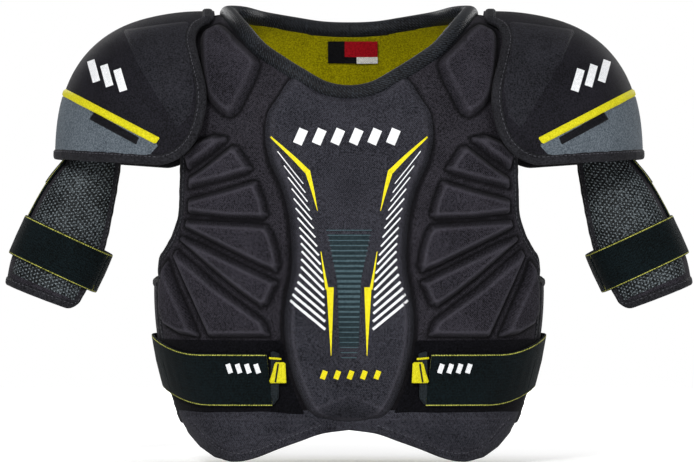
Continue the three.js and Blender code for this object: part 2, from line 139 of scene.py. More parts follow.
def running_length(points):
    """The length along a line up to each of its points."""
    return np.concatenate([[0], np.cumsum(np.linalg.norm(np.diff(points, axis=0), axis=-1))])


def mirrored(half):
    """The whole outline of which half is the +X half, from the centre line round to the centre line."""
    return [*half, *[(-x, z) for x, z in reversed(half) if x]]


def smooth_line(points, spacing, closed=False):
    """A centripetal Catmull-Rom curve through the points, with its samples about spacing apart."""
    p = np.array(points, float)
    p = np.vstack([p[-1:], p, p[:2]]) if closed else np.vstack([2 * p[0] - p[1], p, 2 * p[-1] - p[-2]])
    out = []
    for a, b, c, d in zip(p, p[1:], p[2:], p[3:]):
        t0 = 0.0
        t1 = t0 + np.linalg.norm(b - a) ** 0.5
        t2 = t1 + np.linalg.norm(c - b) ** 0.5
        t3 = t2 + np.linalg.norm(d - c) ** 0.5
        t = np.linspace(t1, t2, max(2, int(np.linalg.norm(c - b) / spacing) + 2))[:-1, None]
        a1 = (t1 - t) / (t1 - t0) * a + (t - t0) / (t1 - t0) * b
        a2 = (t2 - t) / (t2 - t1) * b + (t - t1) / (t2 - t1) * c
        a3 = (t3 - t) / (t3 - t2) * c + (t - t2) / (t3 - t2) * d
        b1 = (t2 - t) / (t2 - t0) * a1 + (t - t0) / (t2 - t0) * a2
        b2 = (t3 - t) / (t3 - t1) * a2 + (t - t1) / (t3 - t1) * a3
        out.append((t2 - t) / (t2 - t1) * b1 + (t - t1) / (t2 - t1) * b2)
    if not closed:
        out.append(p[-2][None])
    return np.vstack(out)


def rounded(outline, rounds=2, cut=0.22):
    """The closed outline with its corners cut round."""
    p = np.array(outline, float)
    for _ in range(rounds):
        after = np.roll(p, -1, axis=0)
        p = np.stack([p * (1 - cut) + after * cut, p * cut + after * (1 - cut)], 1).reshape(-1, 2)
    return p


def nearest_on(outline, x, z):
    """(signed distance, nearest x, nearest z) from the closed outline, positive inside."""
    outline = np.asarray(outline, float)
    best = np.full(np.shape(x), np.inf)
    near_x, near_z = np.zeros(np.shape(x)), np.zeros(np.shape(x))
    inside = np.zeros(np.shape(x), bool)
    for (ax, az), (bx, bz) in zip(outline, np.roll(outline, -1, axis=0)):
        length2 = (bx - ax) ** 2 + (bz - az) ** 2
        if length2 == 0:
            continue
        t = np.clip(((x - ax) * (bx - ax) + (z - az) * (bz - az)) / length2, 0, 1)
        px, pz = ax + t * (bx - ax), az + t * (bz - az)
        d = np.hypot(x - px, z - pz)
        closer = d < best
        best = np.where(closer, d, best)
        near_x, near_z = np.where(closer, px, near_x), np.where(closer, pz, near_z)
        if az != bz:
            inside ^= ((az > z) != (bz > z)) & (x < (bx - ax) * (z - az) / (bz - az) + ax)
    return np.where(inside, best, -best), near_x, near_z


def depth_inside(outline, x, z):
    return nearest_on(outline, x, z)[0]


def even(curve, low, high, step):
    """Parameters from low to high whose points on curve(t) are about step apart."""
    t = np.linspace(low, high, 600)
    along = running_length(curve(t))
    count = max(1, math.ceil(along[-1] / step))
    return np.interp(np.linspace(0, along[-1], count + 1), along, t)


# ---- surfaces ----
class Surface:
    """A smooth surface over two parameters u and v."""

    def normal(self, u, v):
        e = 1e-3
        du = self.base(u + e, v) - self.base(u - e, v)
        dv = self.base(u, v + e) - self.base(u, v - e)
        n = unit(np.cross(du, dv))
        outward = np.sum(n * (self.base(u, v) - self.centre(u, v)), axis=-1, keepdims=True)
        return np.where(outward < 0, -n, n)

    def point(self, u, v, t=0.0):
        return self.base(u, v) + np.asarray(t)[..., None] * self.normal(u, v)

    def centre(self, u, v):
        return np.array([0.0, 0.0, -200.0])


def half_width(z):
    d = z - WIDEST_Z
    return WIDEST - np.where(d < 0, TAPER_BELOW, TAPER_ABOVE) * d * d


def side_depth(z, side):
    d = np.minimum(0, z - CHEST_Z)
    return (CHEST_DEPTH if side < 0 else BACK_DEPTH) - DEPTH_TAPER * d * d


def ridge(x):
    out = np.maximum(0, np.abs(x) - SHOULDER_FROM)
    neck = np.maximum(0, 1 - (x / NECK_REACH) ** 2)
    return SHOULDER_TOP - SHOULDER_SLOPE * out**SHOULDER_POWER + NECK_RISE * neck


class Torso(Surface):
    """Front (side -1) or back (side 1). u is the angle from the centre line. v is a height up to the chest
    level, and above it the chest level plus the degrees climbed over the shoulder."""

    top = CHEST_Z + 89

    def __init__(self, side):
        self.side = side

    def base(self, u, v):
        v = np.minimum(v, self.top)
        climb = np.radians(np.maximum(0, v - CHEST_Z))
        wall = np.minimum(v, CHEST_Z)
        x = half_width(wall) * signed_power(np.sin(u), 2 / PLAN)
        z = wall + (ridge(x) - CHEST_Z) * np.sin(climb) ** (2 / ARCH)
        y = side_depth(wall, self.side) * np.cos(u) ** (2 / PLAN) * np.cos(climb) ** (2 / ARCH)
        return np.stack([x, self.side * y, z], -1)

    def normal(self, u, v):
        return super().normal(u, np.minimum(v, self.top - 1))

    def invert(self, x, z):
        wall = np.minimum(z, CHEST_Z)
        u = np.sign(x) * np.arcsin(np.clip(np.abs(x) / half_width(wall), 0, 0.999) ** (PLAN / 2))
        share = np.clip((z - CHEST_Z) / (ridge(x) - CHEST_Z), 0, 1)
        climb = np.degrees(np.arcsin(share ** (ARCH / 2)))
        return u, np.minimum(np.where(z <= CHEST_Z, z, CHEST_Z + climb), self.top)


class Side(Surface):
    """Round the waist: u is the angle from the front centre line to the back, v the height."""

    def base(self, u, v):
        y = side_depth(v, -1) + (side_depth(v, 1) - side_depth(v, -1)) * ramp(70, 110, np.degrees(u))
        x = half_width(v) * np.abs(np.sin(u)) ** (2 / PLAN)
        return np.stack([x, -y * signed_power(np.cos(u), 2 / PLAN), v + 0 * u], -1)


class Cap(Surface):
    """The domed shoulder cap on the +X side: u swings from outwards to up, v turns from front to back."""

    def base(self, u, v):
        a, b, c = CAP_HALF
        level = 2 / CAP_POWER
        x = CAP_CENTRE[0] + a * np.cos(v) * np.abs(np.cos(u)) ** level
        z = CAP_CENTRE[2] + c * np.cos(v) * np.abs(np.sin(u)) ** level
        return np.stack([x, b * np.sin(v) + 0 * u, z], -1)

    def centre(self, u, v):
        return np.array(CAP_CENTRE)

    def invert(self, x, z, side=-1):
        a, _, c = CAP_HALF
        level = 2 / CAP_POWER
        across, up = np.maximum(x - CAP_CENTRE[0], 0.01) / a, np.maximum(z - CAP_CENTRE[2], 0.01) / c
        u = np.arctan((up / across) ** (1 / level))
        return u, side * np.arccos(np.clip(across / np.cos(u) ** level, 0, 1))


def catmull(stations, t):
    """The uniform Catmull-Rom curve through the stations, t from 0 to 1."""
    s = np.array(stations, float)
    s = np.vstack([2 * s[0] - s[1], s, 2 * s[-1] - s[-2]])
    place = np.clip(t, 0, 1) * (len(stations) - 1)
    i = np.minimum(place.astype(int), len(stations) - 2)
    w = (place - i)[..., None]
    p0, p1, p2, p3 = s[i], s[i + 1], s[i + 2], s[i + 3]
    m1, m2 = (p2 - p0) / 2, (p3 - p1) / 2
    ends = (2 * w**3 - 3 * w**2 + 1) * p1 + (3 * w**2 - 2 * w**3) * p2
    return ends + (w**3 - 2 * w**2 + w) * m1 + (w**3 - w**2) * m2


class Sleeve(Surface):
    """The arm guard on the +X side: u is the angle round it from outwards, v runs down it from 0 to 1."""

    def section(self, v):
        return np.moveaxis(catmull(ARM_STATIONS, v), -1, 0)

    def base(self, u, v):
        x, z, tilt, wide, deep = self.section(v + 0 * u)
        out = wide * signed_power(np.cos(u), 2 / ARM_POWER)
        tilt = np.radians(tilt)
        y = deep * signed_power(np.sin(u), 2 / ARM_POWER)
        return np.stack([x + out * np.cos(tilt), y, z + out * np.sin(tilt)], -1)

    def centre(self, u, v):
        x, z, *_ = self.section(v + 0 * u)
        return np.stack([x, 0 * x, z], -1)

    def normal(self, u, v):
        return super().normal(u, np.clip(v, 0.002, 0.998))


FRONT, REAR, ROUND, CAP, SLEEVE = Torso(-1), Torso(1), Side(), Cap(), Sleeve()


# ---- meshes ----
def new_object(name, data):
    obj = bpy.data.objects.new(name, data)
    bpy.context.scene.collection.objects.link(obj)
    return obj


def grid(us, vs):
    return np.meshgrid(us, vs, indexing="ij")


def make_mesh(name, points, faces, materials, uv=None, slots=None, groove=None):
    """A smooth-shaded object from points in mm. uv is one (u, v) in mm for each point, and the last argument
    gives each point its share of painted shade, from 0 to 1, darkest in creases."""
    mesh = bpy.data.meshes.new(name)
    faces = np.asarray(faces)
    mesh.from_pydata((np.asarray(points) * MM).tolist(), [], faces.tolist())
    mesh.polygons.foreach_set("use_smooth", np.ones(len(mesh.polygons), bool))
    for material in materials if isinstance(materials, (list, tuple)) else [materials]:
        mesh.materials.append(material)
    if slots is not None:
        mesh.polygons.foreach_set("material_index", np.asarray(slots, np.int32))
    if uv is not None:
        layer = mesh.uv_layers.new(name="UVMap")
        corners = np.zeros(len(mesh.loops), np.int32)
        mesh.loops.foreach_get("vertex_index", corners)
        layer.data.foreach_set("uv", (np.asarray(uv)[corners] * MM).ravel())
    if groove is not None:
        shade = mesh.attributes.new("groove", "FLOAT", "POINT")
        shade.data.foreach_set("value", np.asarray(groove, np.float32))
    mesh.validate()
    return new_object(name, mesh)


def mirror_copy(obj, name):
    """The same piece on the -X side."""
    mesh = obj.data.copy()
    mesh.name = name
    flip = np.zeros(len(mesh.vertices) * 3)
    mesh.vertices.foreach_get("co", flip)
    flip[0::3] *= -1
    mesh.vertices.foreach_set("co", flip)
    mesh.flip_normals()
    copy = obj.copy()
    copy.name, copy.data = name, mesh
    bpy.context.scene.collection.objects.link(copy)
    return copy


def thicken(obj, thickness):
    """Gives a skin its thickness, inwards, in mm."""
    solid = obj.modifiers.new("thickness", "SOLIDIFY")
    solid.thickness, solid.offset, solid.use_even_offset = thickness * MM, -1, False
    return obj


def face_out(points, faces, outward):
    """The faces, turned round if they look against outward at most of their points."""
    p = np.asarray(points)
    a, b, c = p[faces[:, 0]], p[faces[:, 1]], p[faces[:, 2]]
    facing = np.sum(np.cross(b - a, c - a) * outward[faces[:, 0]])
    return faces if facing > 0 else faces[:, ::-1]


def patch(name, surface, outline, step, material, height=0.0, groove=None):
    """The part of a surface inside an outline, its edge on the outline. height(x, z) lifts it, and the last
    argument, a function of (x, z), gives each point its share of painted shade."""
    outline = np.asarray(outline, float)
    dense = smooth_line(outline, 4, closed=True)
    if surface is CAP:
        u_all, v_all = CAP_U_RANGE, CAP_V_RANGE
    else:
        u_all, v_all = surface.invert(*dense.T)
    margin = 0.01
    u_low, u_high = u_all.min() - margin, u_all.max() + margin
    v_low, v_high = v_all.min() - margin, v_all.max() + margin
    if surface is FRONT:  # nothing on the front goes further round than the chest panel
        u_low, u_high = max(u_low, -EDGE_ANGLE), min(u_high, EDGE_ANGLE)
    u_mid, v_mid = (u_low + u_high) / 2, (v_low + v_high) / 2
    us = even(lambda t: surface.base(t, np.full_like(t, v_mid)), u_low, u_high, step)
    vs = even(lambda t: surface.base(np.full_like(t, u_mid), t), v_low, v_high, step)
    u, v = grid(us, vs)
    base = surface.base(u, v)
    x, z = base[..., 0], base[..., 2]
    distance, near_x, near_z = nearest_on(outline, x, z)
    inside = distance > 0
    kept = inside[:-1, :-1] & inside[1:, :-1] & inside[:-1, 1:] & inside[1:, 1:]
    around = np.zeros(inside.shape, int)
    for i in (0, 1):
        for j in (0, 1):
            around[i : i + kept.shape[0], j : j + kept.shape[1]] += kept
    used = around > 0
    edge = used & (around < 4) & (distance < 1.7 * step)
    x, z = np.where(edge, near_x, x), np.where(edge, near_z, z)
    if surface is CAP:
        snapped_u, snapped_v = surface.invert(x, z, np.sign(v))
    else:
        snapped_u, snapped_v = surface.invert(x, z)
    u, v = np.where(edge, np.clip(snapped_u, u_low, u_high), u), np.where(edge, snapped_v, v)
    lift = height(x, z) if callable(height) else np.full(x.shape, float(height))
    index = np.cumsum(used.ravel()).reshape(used.shape) - 1
    i, j = np.nonzero(kept)
    faces = np.stack([index[i, j], index[i + 1, j], index[i + 1, j + 1], index[i, j + 1]], 1)
    points = surface.point(u, v, lift)[used]
    flat = np.stack(grid(np.arange(len(us)) * step, np.arange(len(vs)) * step), -1)
    faces = face_out(points, faces, surface.normal(u, v)[used])
    shade_amount = None if groove is None else groove(x, z)[used]
    return make_mesh(name, points, faces, material, uv=flat[used], groove=shade_amount)


def grid_piece(name, points, outward, material, uv, slots=None):
    """A piece from a rows x columns grid of points."""
    rows, columns = points.shape[:2]
    index = np.arange(rows * columns).reshape(rows, columns)
    faces = np.stack([index[:-1, :-1], index[1:, :-1], index[1:, 1:], index[:-1, 1:]], -1).reshape(-1, 4)
    flat = points.reshape(-1, 3)
    faces = face_out(flat, faces, outward.reshape(-1, 3))
    return make_mesh(name, flat, faces, material, uv.reshape(-1, 2), slots)


def trace(surface, u, v, spacing, closed=False):
    """Points, normals and parameters about spacing apart along a path of parameters."""
    p = surface.base(u, v)
    if closed:
        u, v, p = np.append(u, u[0]), np.append(v, v[0]), np.vstack([p, p[:1]])
    along = running_length(p)
    count = max(2, round(along[-1] / spacing))
    s = np.linspace(0, along[-1], count + 1)[: count if closed else None]
    u, v = np.interp(s, along, u), np.interp(s, along, v)
    p, n = surface.base(u, v), surface.normal(u, v)
    tangent = unit(np.roll(p, -1, 0) - np.roll(p, 1, 0) if closed else np.gradient(p, axis=0))
    return p, n, tangent, s


def loft(name, rings, materials, closed=False, bands=None):
    """A piece through rings of points, its ends drawn shut. bands gives each side of the ring a material."""
    rings = np.asarray(rings, float)
    middle = rings.mean(axis=1, keepdims=True)
    if not closed:
        shut = middle + (rings - middle) * 0.02
        rings = np.concatenate([shut[:1], rings, shut[-1:]])
        middle = np.concatenate([middle[:1], middle, middle[-1:]])
    count, sides = rings.shape[:2]
    index = np.arange(count * sides).reshape(count, sides)
    now, after = (index, np.roll(index, -1, axis=0)) if closed else (index[:-1], index[1:])
    faces = np.stack([now, after, np.roll(after, -1, 1), np.roll(now, -1, 1)], -1).reshape(-1, 4)
    length, girth = running_length(middle[:, 0]), running_length(rings[count // 2])
    uv = np.stack(grid(length, girth), -1).reshape(-1, 2)
    flat = rings.reshape(-1, 3)
    faces = face_out(flat, faces, (rings - middle).reshape(-1, 3))
    slots = None if bands is None else np.tile(bands, len(faces) // sides)
    return make_mesh(name, flat, faces, materials, uv, slots)


def tube(name, centre, across, up, section, material, closed=False, bands=None):
    """A section of (across, up) points swept along centre, one frame to a point."""
    section = np.asarray(section, float)
    rings = centre[:, None] + across[:, None] * section[:, :1] + up[:, None] * section[:, 1:]
    return loft(name, rings, material, closed, bands=bands)


def ellipse(half_across, half_up, sides=14, power=2.6):
    a = np.linspace(0, 2 * math.pi, sides, endpoint=False)
    circle = np.stack([np.cos(a), np.sin(a)], 1)
    return signed_power(circle, 2 / power) * (half_across, half_up)


def edge_tape(name, surface, u, v, toward, width=9.5, thick=9.4, closed=False, proud=1.2):
    """Binding folded over a panel's edge, and its row of stitches. toward is a place on the panel."""
    p, n, t, s = trace(surface, u, v, 2.5, closed)
    across = unit(np.cross(n, t))
    if np.sum(across * (np.array(toward, float) - p)) < 0:
        across = -across
    centre = p + across * (width / 2 - proud) - n * (thick / 2 - proud)
    pucker = 0.18 * np.sin(s / 3.1) + 0.12 * np.sin(s / 1.7 + 1)
    centre = centre + n * pucker[:, None]
    piece = tube(name, centre, across, n, ellipse(width / 2, thick / 2), BINDING, closed)
    return piece, (centre + across * (width / 2 - 2.4) + n * (thick / 2 - 0.35), n)


def stitches(name, lines, length=3.0, gap=1.7, radius=0.38, sides=5):
    """Short raised threads along lines of (points, normals)."""
    rings, faces = [], []
    shape = [(-0.5, 0.0), (-0.4, 0.8), (0.0, 1.0), (0.4, 0.8), (0.5, 0.0)]
    turns = np.linspace(0, 2 * math.pi, sides, endpoint=False)[:, None]
    for points, normals in lines:
        along = running_length(points)

        def at(s, values):
            return np.stack([np.interp(s, along, values[:, k]) for k in range(3)], -1)

        for s in np.arange(length, along[-1] - length, length + gap):
            tangent = unit(at(s + 1, points) - at(s - 1, points))
            n = unit(at(s, normals))
            circle = np.cross(n, tangent) * np.cos(turns) + n * (np.sin(turns) * 0.8 + 0.2)
            first = len(rings) * sides
            for share, size in shape:
                rings.append(at(s, points) + tangent * share * length + circle * radius * size)
            for ring in range(len(shape) - 1):
                for k in range(sides):
                    a, c = first + ring * sides + k, first + ring * sides + (k + 1) % sides
                    faces.append((a, c, c + sides, a + sides))
    return make_mesh(name, np.concatenate(rings), faces, THREAD)


# ---- materials ----
def srgb(*levels):
    """A colour for a socket, from its red, green and blue levels from 0 to 255."""
    linear = [c / 255 / 12.92 if c <= 10 else ((c / 255 + 0.055) / 1.055) ** 2.4 for c in levels]
    return (*linear, 1.0)


class Shader:
    """A node material around one Principled shader."""

    def __init__(self, name, roughness=0.85, sheen=0.0, specular=0.3):
        self.material = bpy.data.materials.new(name)
        self.material.use_nodes = True
        self.tree = self.material.node_tree
        self.tree.nodes.clear()
        self.bsdf = self.node("ShaderNodeBsdfPrincipled")
        out = self.node("ShaderNodeOutputMaterial")
        self.tree.links.new(self.bsdf.outputs["BSDF"], out.inputs["Surface"])
        self.bsdf.inputs["Roughness"].default_value = roughness
        self.bsdf.inputs["Sheen Weight"].default_value = sheen
        self.bsdf.inputs["Sheen Roughness"].default_value = 0.5
        self.bsdf.inputs["Specular IOR Level"].default_value = specular
        where = self.node("ShaderNodeTexCoord")
        self.object_place = where.outputs["Object"]
        split = self.node("ShaderNodeSeparateXYZ")
        self.tree.links.new(where.outputs["UV"], split.inputs[0])
        self.u, self.v = split.outputs["X"], split.outputs["Y"]

    def node(self, kind):
        return self.tree.nodes.new(kind)

    def put(self, socket, value):
        if isinstance(value, bpy.types.NodeSocket):
            self.tree.links.new(value, socket)
        else:
            socket.default_value = value

    def math(self, operation, a, b=0.0, c=0.0):
        n = self.node("ShaderNodeMath")
        n.operation = operation
        for socket, value in zip(n.inputs, (a, b, c)):
            self.put(socket, value)
        return n.outputs[0]

    def scaled(self, value, by, plus):
        return self.math("MULTIPLY_ADD", value, by, plus)

    def times(self, a, b):
        return self.math("MULTIPLY", a, b)

    def plus(self, a, b):
        return self.math("ADD", a, b)

    def minus(self, a, b):
        return self.math("SUBTRACT", a, b)

    def clamp(self, value, most=1.0):
        return self.math("MINIMUM", self.math("MAXIMUM", value, 0.0), most)

    def wave(self, place, period_mm, phase=0.0):
        return self.math("SINE", self.scaled(place, 2 * math.pi / (period_mm * MM), phase))

    def noise(self, size_mm, detail=2.0):
        n = self.node("ShaderNodeTexNoise")
        self.tree.links.new(self.object_place, n.inputs["Vector"])
        n.inputs["Scale"].default_value = 1 / (size_mm * MM)
        n.inputs["Detail"].default_value = detail
        return n.outputs[0]

    def mix(self, factor, a, b):
        n = self.node("ShaderNodeMix")
        n.data_type = "RGBA"
        self.put(n.inputs["Factor"], factor)
        self.put(n.inputs["A"], a)
        self.put(n.inputs["B"], b)
        return n.outputs["Result"]

    def bump(self, height, distance_mm, strength=0.6):
        n = self.node("ShaderNodeBump")
        n.inputs["Distance"].default_value = distance_mm * MM
        n.inputs["Strength"].default_value = strength
        self.put(n.inputs["Height"], height)
        self.tree.links.new(n.outputs["Normal"], self.bsdf.inputs["Normal"])

    def worn(self, colour, light, amount=0.35):
        """The colour with a painted highlight, lighter where the surface bends out."""
        bend = self.node("ShaderNodeNewGeometry").outputs["Pointiness"]
        edge = self.times(self.minus(bend, FLAT_POINTINESS), 12.0)
        return self.mix(self.clamp(edge, amount), colour, light)


# Painted shade in creases: the near-black it darkens towards, the pointiness of a flat surface for the painted
# edge highlight, and the most painted shade any point gets.
PAINTED_SHADE_COLOUR = srgb(3, 3, 4)
FLAT_POINTINESS = 0.505
DARKEST_PAINTED_SHADE = 0.85


def plain_weave(s, period=2.2):
    return s.scaled(s.times(s.wave(s.u, period), s.wave(s.v, period)), 0.5, 0.5)


def twill(s, period=1.5):
    return s.scaled(s.wave(s.plus(s.u, s.v), period), 0.5, 0.5)


def glinting_twill(s, period=3.2):
    """Steep ribs with breaks, dark between them; their light tone is painted glints of the shiny twill."""
    ribs = s.math("POWER", twill(s, period), 3.0)
    return s.times(ribs, s.scaled(s.wave(s.u, 4.1), 0.35, 0.65))


def cross_ribs(s, period=1.5):
    ribs = s.scaled(s.wave(s.u, period), 0.35, 0.5)
    return s.scaled(s.wave(s.v, period * 1.9), 0.15, ribs)


def knit(s, period=1.6):
    rising = s.wave(s.plus(s.u, s.v), period)
    falling = s.wave(s.minus(s.u, s.v), period)
    return s.scaled(s.times(rising, falling), 0.5, 0.5)


# The spacer mesh's honeycomb: its light dots are painted glints on the ridges, dark between.
def honeycomb(s, period=3.4):
    half, rise = s.times(s.u, 0.5), s.times(s.v, 0.866)
    across = (s.u, s.plus(half, rise), s.minus(half, rise))
    first, second, third = [s.wave(place, period, math.pi / 2) for place in across]
    total = s.plus(s.plus(first, second), third)
    return s.clamp(s.scaled(total, 0.62, -0.55))


def pile(s, period=0.9):
    return s.noise(period, 3.0)


def fabric(name, dark, light, pattern, depth=0.25, roughness=0.85, sheen=0.015, specular=0.06, contrast=0.7,
           highlight_colour=None):
    """A cloth between two colours: pattern(shader) is its thread relief from 0 to 1, with grain and slow
    patches of tone. Where it has a highlight colour, its convex edges get a painted highlight in that colour,
    and its points get painted shade, darkening towards near-black, from their shade attribute."""
    s = Shader(name, roughness, sheen, specular)
    relief = pattern(s)
    grain, tone = s.noise(1.5, 2.0), s.noise(38, 3.0)
    share = s.scaled(relief, contrast, 0.5 - contrast / 2)
    share = s.scaled(s.minus(grain, 0.5), 2.6, share)
    share = s.scaled(s.minus(tone, 0.5), 0.7, share)
    colour = s.mix(s.clamp(share), srgb(*dark), srgb(*light))
    # Painted light: a highlight on convex edges, and painted shade in creases from the shade attribute.
    if highlight_colour:
        colour = s.worn(colour, srgb(*highlight_colour))
        shade_amount = s.node("ShaderNodeAttribute")
        shade_amount.attribute_name = "groove"
        colour = s.mix(shade_amount.outputs["Fac"], colour, PAINTED_SHADE_COLOUR)
    s.put(s.bsdf.inputs["Base Color"], colour)
    rough = s.scaled(grain, 0.16, roughness - 0.08)
    s.put(s.bsdf.inputs["Roughness"], rough)
    s.bump(s.scaled(grain, 0.5, relief), depth)
    return s.material


def strand(period):
    return lambda s: twill(s, period)


# The last colour given to the shell, pad, sternum and cap cloths is a painted highlight on their convex edges;
# these cloths also take painted shade in creases.
SHELL = fabric("shell_weave", (10, 9, 12), (48, 46, 52), plain_weave, highlight_colour=(66, 64, 72))
PAD_CLOTH = fabric("pad_weave", (10, 9, 12), (50, 48, 55), plain_weave, highlight_colour=(74, 72, 80))
STERNUM_CLOTH = fabric("sternum_weave", (14, 14, 18), (54, 54, 61), plain_weave, highlight_colour=(78, 76, 84))
# The liner's yellow is darker than the accent's, darkened by painted shade to the tone it takes in the shadow
# inside the vest.
LINER = fabric("liner_brushed", (104, 97, 0), (158, 150, 4), pile, 0.3, 0.95)
COLLAR = fabric("collar_knit", (2, 2, 4), (44, 48, 54), glinting_twill, 0.6, 0.5, 0.01, 0.12, 1.0)
BINDING = fabric("binding_knit", (7, 7, 9), (40, 40, 44), knit, 0.3, 0.75)
CAP_KNIT = fabric("cap_knit", (4, 4, 6), (32, 31, 37), knit, 0.2, 0.7, highlight_colour=(48, 48, 54))
CAP_MESH = fabric("cap_mesh", (3, 3, 5), (42, 42, 48), lambda s: knit(s, 2.6), 0.4, 0.6)
GREY = fabric("grey_panel_weave", (54, 61, 68), (96, 104, 111), plain_weave, 0.2, 0.75)
YELLOW = fabric("accent_weave", (170, 162, 10), (208, 200, 34), plain_weave, 0.12, 0.6)
ELASTIC = fabric("elastic_ribs", (0, 2, 2), (11, 21, 24), cross_ribs, 0.45, 0.8)
YELLOW_THREAD = fabric("edge_thread", (70, 72, 22), (176, 176, 84), strand(2.6), 0.3, 0.7)
WEBBING = [ELASTIC, YELLOW_THREAD]
LOOP_PILE = fabric("loop_pile", (1, 1, 2), (14, 14, 18), pile, 0.9, 1.0)
MESH_CLOTH = fabric("spacer_mesh", (2, 4, 5), (104, 112, 116), honeycomb, 0.8, 0.62, 0.01, 0.12, 1.0)
THREAD = fabric("thread", (40, 40, 44), (84, 84, 90), strand(0.6), 0.05, 0.6)
BLACK_THREAD = fabric("dark_thread", (12, 12, 14), (34, 34, 38), strand(0.6), 0.05, 0.6)
LABEL_RED = fabric("label_red", (120, 6, 16), (168, 18, 32), plain_weave, 0.08, 0.5)
LABEL_BLACK = fabric("label_black", (4, 4, 6), (22, 22, 26), plain_weave, 0.08, 0.5)
LABEL_WHITE = fabric("label_white", (185, 185, 180), (228, 228, 224), plain_weave, 0.08, 0.5)
PRINT_WHITE = fabric("print_white", (196, 198, 200), (226, 226, 228), plain_weave, 0.05, 0.45)
PRINT_YELLOW = fabric("print_yellow", (190, 178, 16), (220, 208, 36), plain_weave, 0.05, 0.45)
PRINT_GREY = fabric("print_grey", (46, 64, 70), (68, 86, 92), plain_weave, 0.05, 0.5)
PRINT_TEAL = fabric("print_teal", (16, 26, 30), (34, 46, 50), plain_weave, 0.05, 0.6)
HOOK_GREY = fabric("hook_tab", (12, 16, 18), (34, 40, 44), lambda s: cross_ribs(s, 1.0), 0.4, 0.6)
PLASTIC = fabric("moulded_plastic", (196, 196, 190), (226, 226, 221), pile, 0.03, 0.45)


# ---- relief of the front ----
def creases(x, z, size=1.0):
    """Slow, shallow unevenness of fabric over foam."""
    slow = np.sin(x / 17 + 1.3 * np.sin(z / 31)) * np.sin(z / 23 + 0.7 * np.sin(x / 41))
    fine = np.sin(x / 7.3 + z / 11.9 + 2 * np.sin(z / 19)) * 0.4
    return size * (0.22 * slow + 0.12 * fine)


def moulded(outline, rise, flank, dome=1.0, sunk=0.9):
    """The relief of a moulded pad: chamfered flanks up to a slightly crowned top."""
    def height(x, z):
        d = depth_inside(outline, x, z)
        top = rise * soft_cap(d / flank) + dome * ramp(0, 30, d)
        return top - sunk + creases(x, z)
    return height


def flank_groove(outline, flank, strength=1.0):
    """The painted shade on a moulded pad's flank, deepest at its foot."""

    def darkness(x, z):
        d = depth_inside(outline, x, z)
        return strength * (0.5 * (1 - ramp(0.2, 2.2, d)) + 0.3 * (1 - ramp(0.7 * flank, 1.2 * flank, d)))

    return darkness


STERNUM_RISE, STERNUM_FLANK = 12.6, 9.0
STERNUM_OUTLINE = smooth_line(mirrored(STERNUM), 5, closed=True)


def sternum_facet(x, z):
    """How far into the lower end's facet a point lies, from 0 to 1."""
    return np.clip((-350 - 0.42 * np.abs(x) - z) / 16, 0, 1)


def sternum_height(x, z):
    """The relief of the breastbone pad: low at the neck, and cut to a facet at its lower end."""
    d = depth_inside(STERNUM_OUTLINE, x, z)
    rise = STERNUM_RISE - 7.5 * ramp(-120, -60, z)
    h = rise * soft_cap(d / STERNUM_FLANK) + 1.2 * ramp(0, 50, d)
    h = h - 6.5 * sternum_facet(x, z) * ramp(0, 8, d)
    seam = np.exp(-(((d - 7.5) / 1.0) ** 2)) * ramp(-235, -262, z)
    return h - 0.8 * seam + creases(x, z, 0.6) - 1.2


PAD_OUTLINES = [rounded(outline, 1, 0.08) for outline in CHEST_PADS]
CLAVICLE_OUTLINE = rounded(CLAVICLE, 2, 0.2)


# Painted shade at the breastbone pad's foot, less towards the neck, and on its lower facet, which faces down.
def sternum_groove(x, z):
    d = depth_inside(STERNUM_OUTLINE, x, z)
    foot = 0.45 * (1 - ramp(0.5, 3.0, d)) + 0.35 * (1 - ramp(0.3, 0.9, d / STERNUM_FLANK))
    return np.minimum(DARKEST_PAINTED_SHADE, foot * (1 - 0.6 * ramp(-130, -70, z)) + 0.5 * sternum_facet(x, z))


def chest_groove(x, z):
    """Painted shade where the panel lies in the moulded channels beside the pads."""
    across = np.abs(x)
    nearest = np.full(x.shape, -np.inf)
    for outline in (*PAD_OUTLINES, CLAVICLE_OUTLINE):
        nearest = np.maximum(nearest, depth_inside(outline, across, z))
    beside_sternum = depth_inside(STERNUM_OUTLINE, x, z) + 1.5 - 3 * ramp(-130, -70, z)
    return 0.8 * (1 - ramp(0.8, 3.2, -np.maximum(nearest, beside_sternum)))


def moulded_pad(name, surface, outline, step, rise, flank, dome=1.0, shade=1.0):
    """A padded piece with chamfered flanks, with painted shade at their foot."""
    return patch(name, surface, outline, step, PAD_CLOTH, moulded(outline, rise, flank, dome),
                 flank_groove(outline, flank, shade))


def place(piece, body, slot, *nodes, pad=None, cut=None, on=None):
    """Gives a piece to its body and hides the nodes it stands for. slot is not used. pad, a padded piece's
    fill, is not used. cut is a sheet's flat width, length and area in mm and mm2; on, what it lies on, is not
    used."""
    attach(piece, body)
    if nodes:
        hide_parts(*nodes)
    if cut is not None:
        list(cut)


def both_sides(left_piece):
    """(piece, side, sign of x) for a left piece and its mirror image."""
    right_piece = mirror_copy(left_piece, left_piece.name.replace("left", "right"))
    return (left_piece, "left", 1), (right_piece, "right", -1)


def place_pair(left_piece, body, slot, *nodes, pad=None, cut=None, on=""):
    """Places a left piece and its mirror image. Names in braces take the side."""
    for piece, side, _ in both_sides(left_piece):
        names = [node.format(side) for node in nodes]
        place(piece, body.format(side), slot, *names, pad=pad, cut=cut, on=on.format(side))


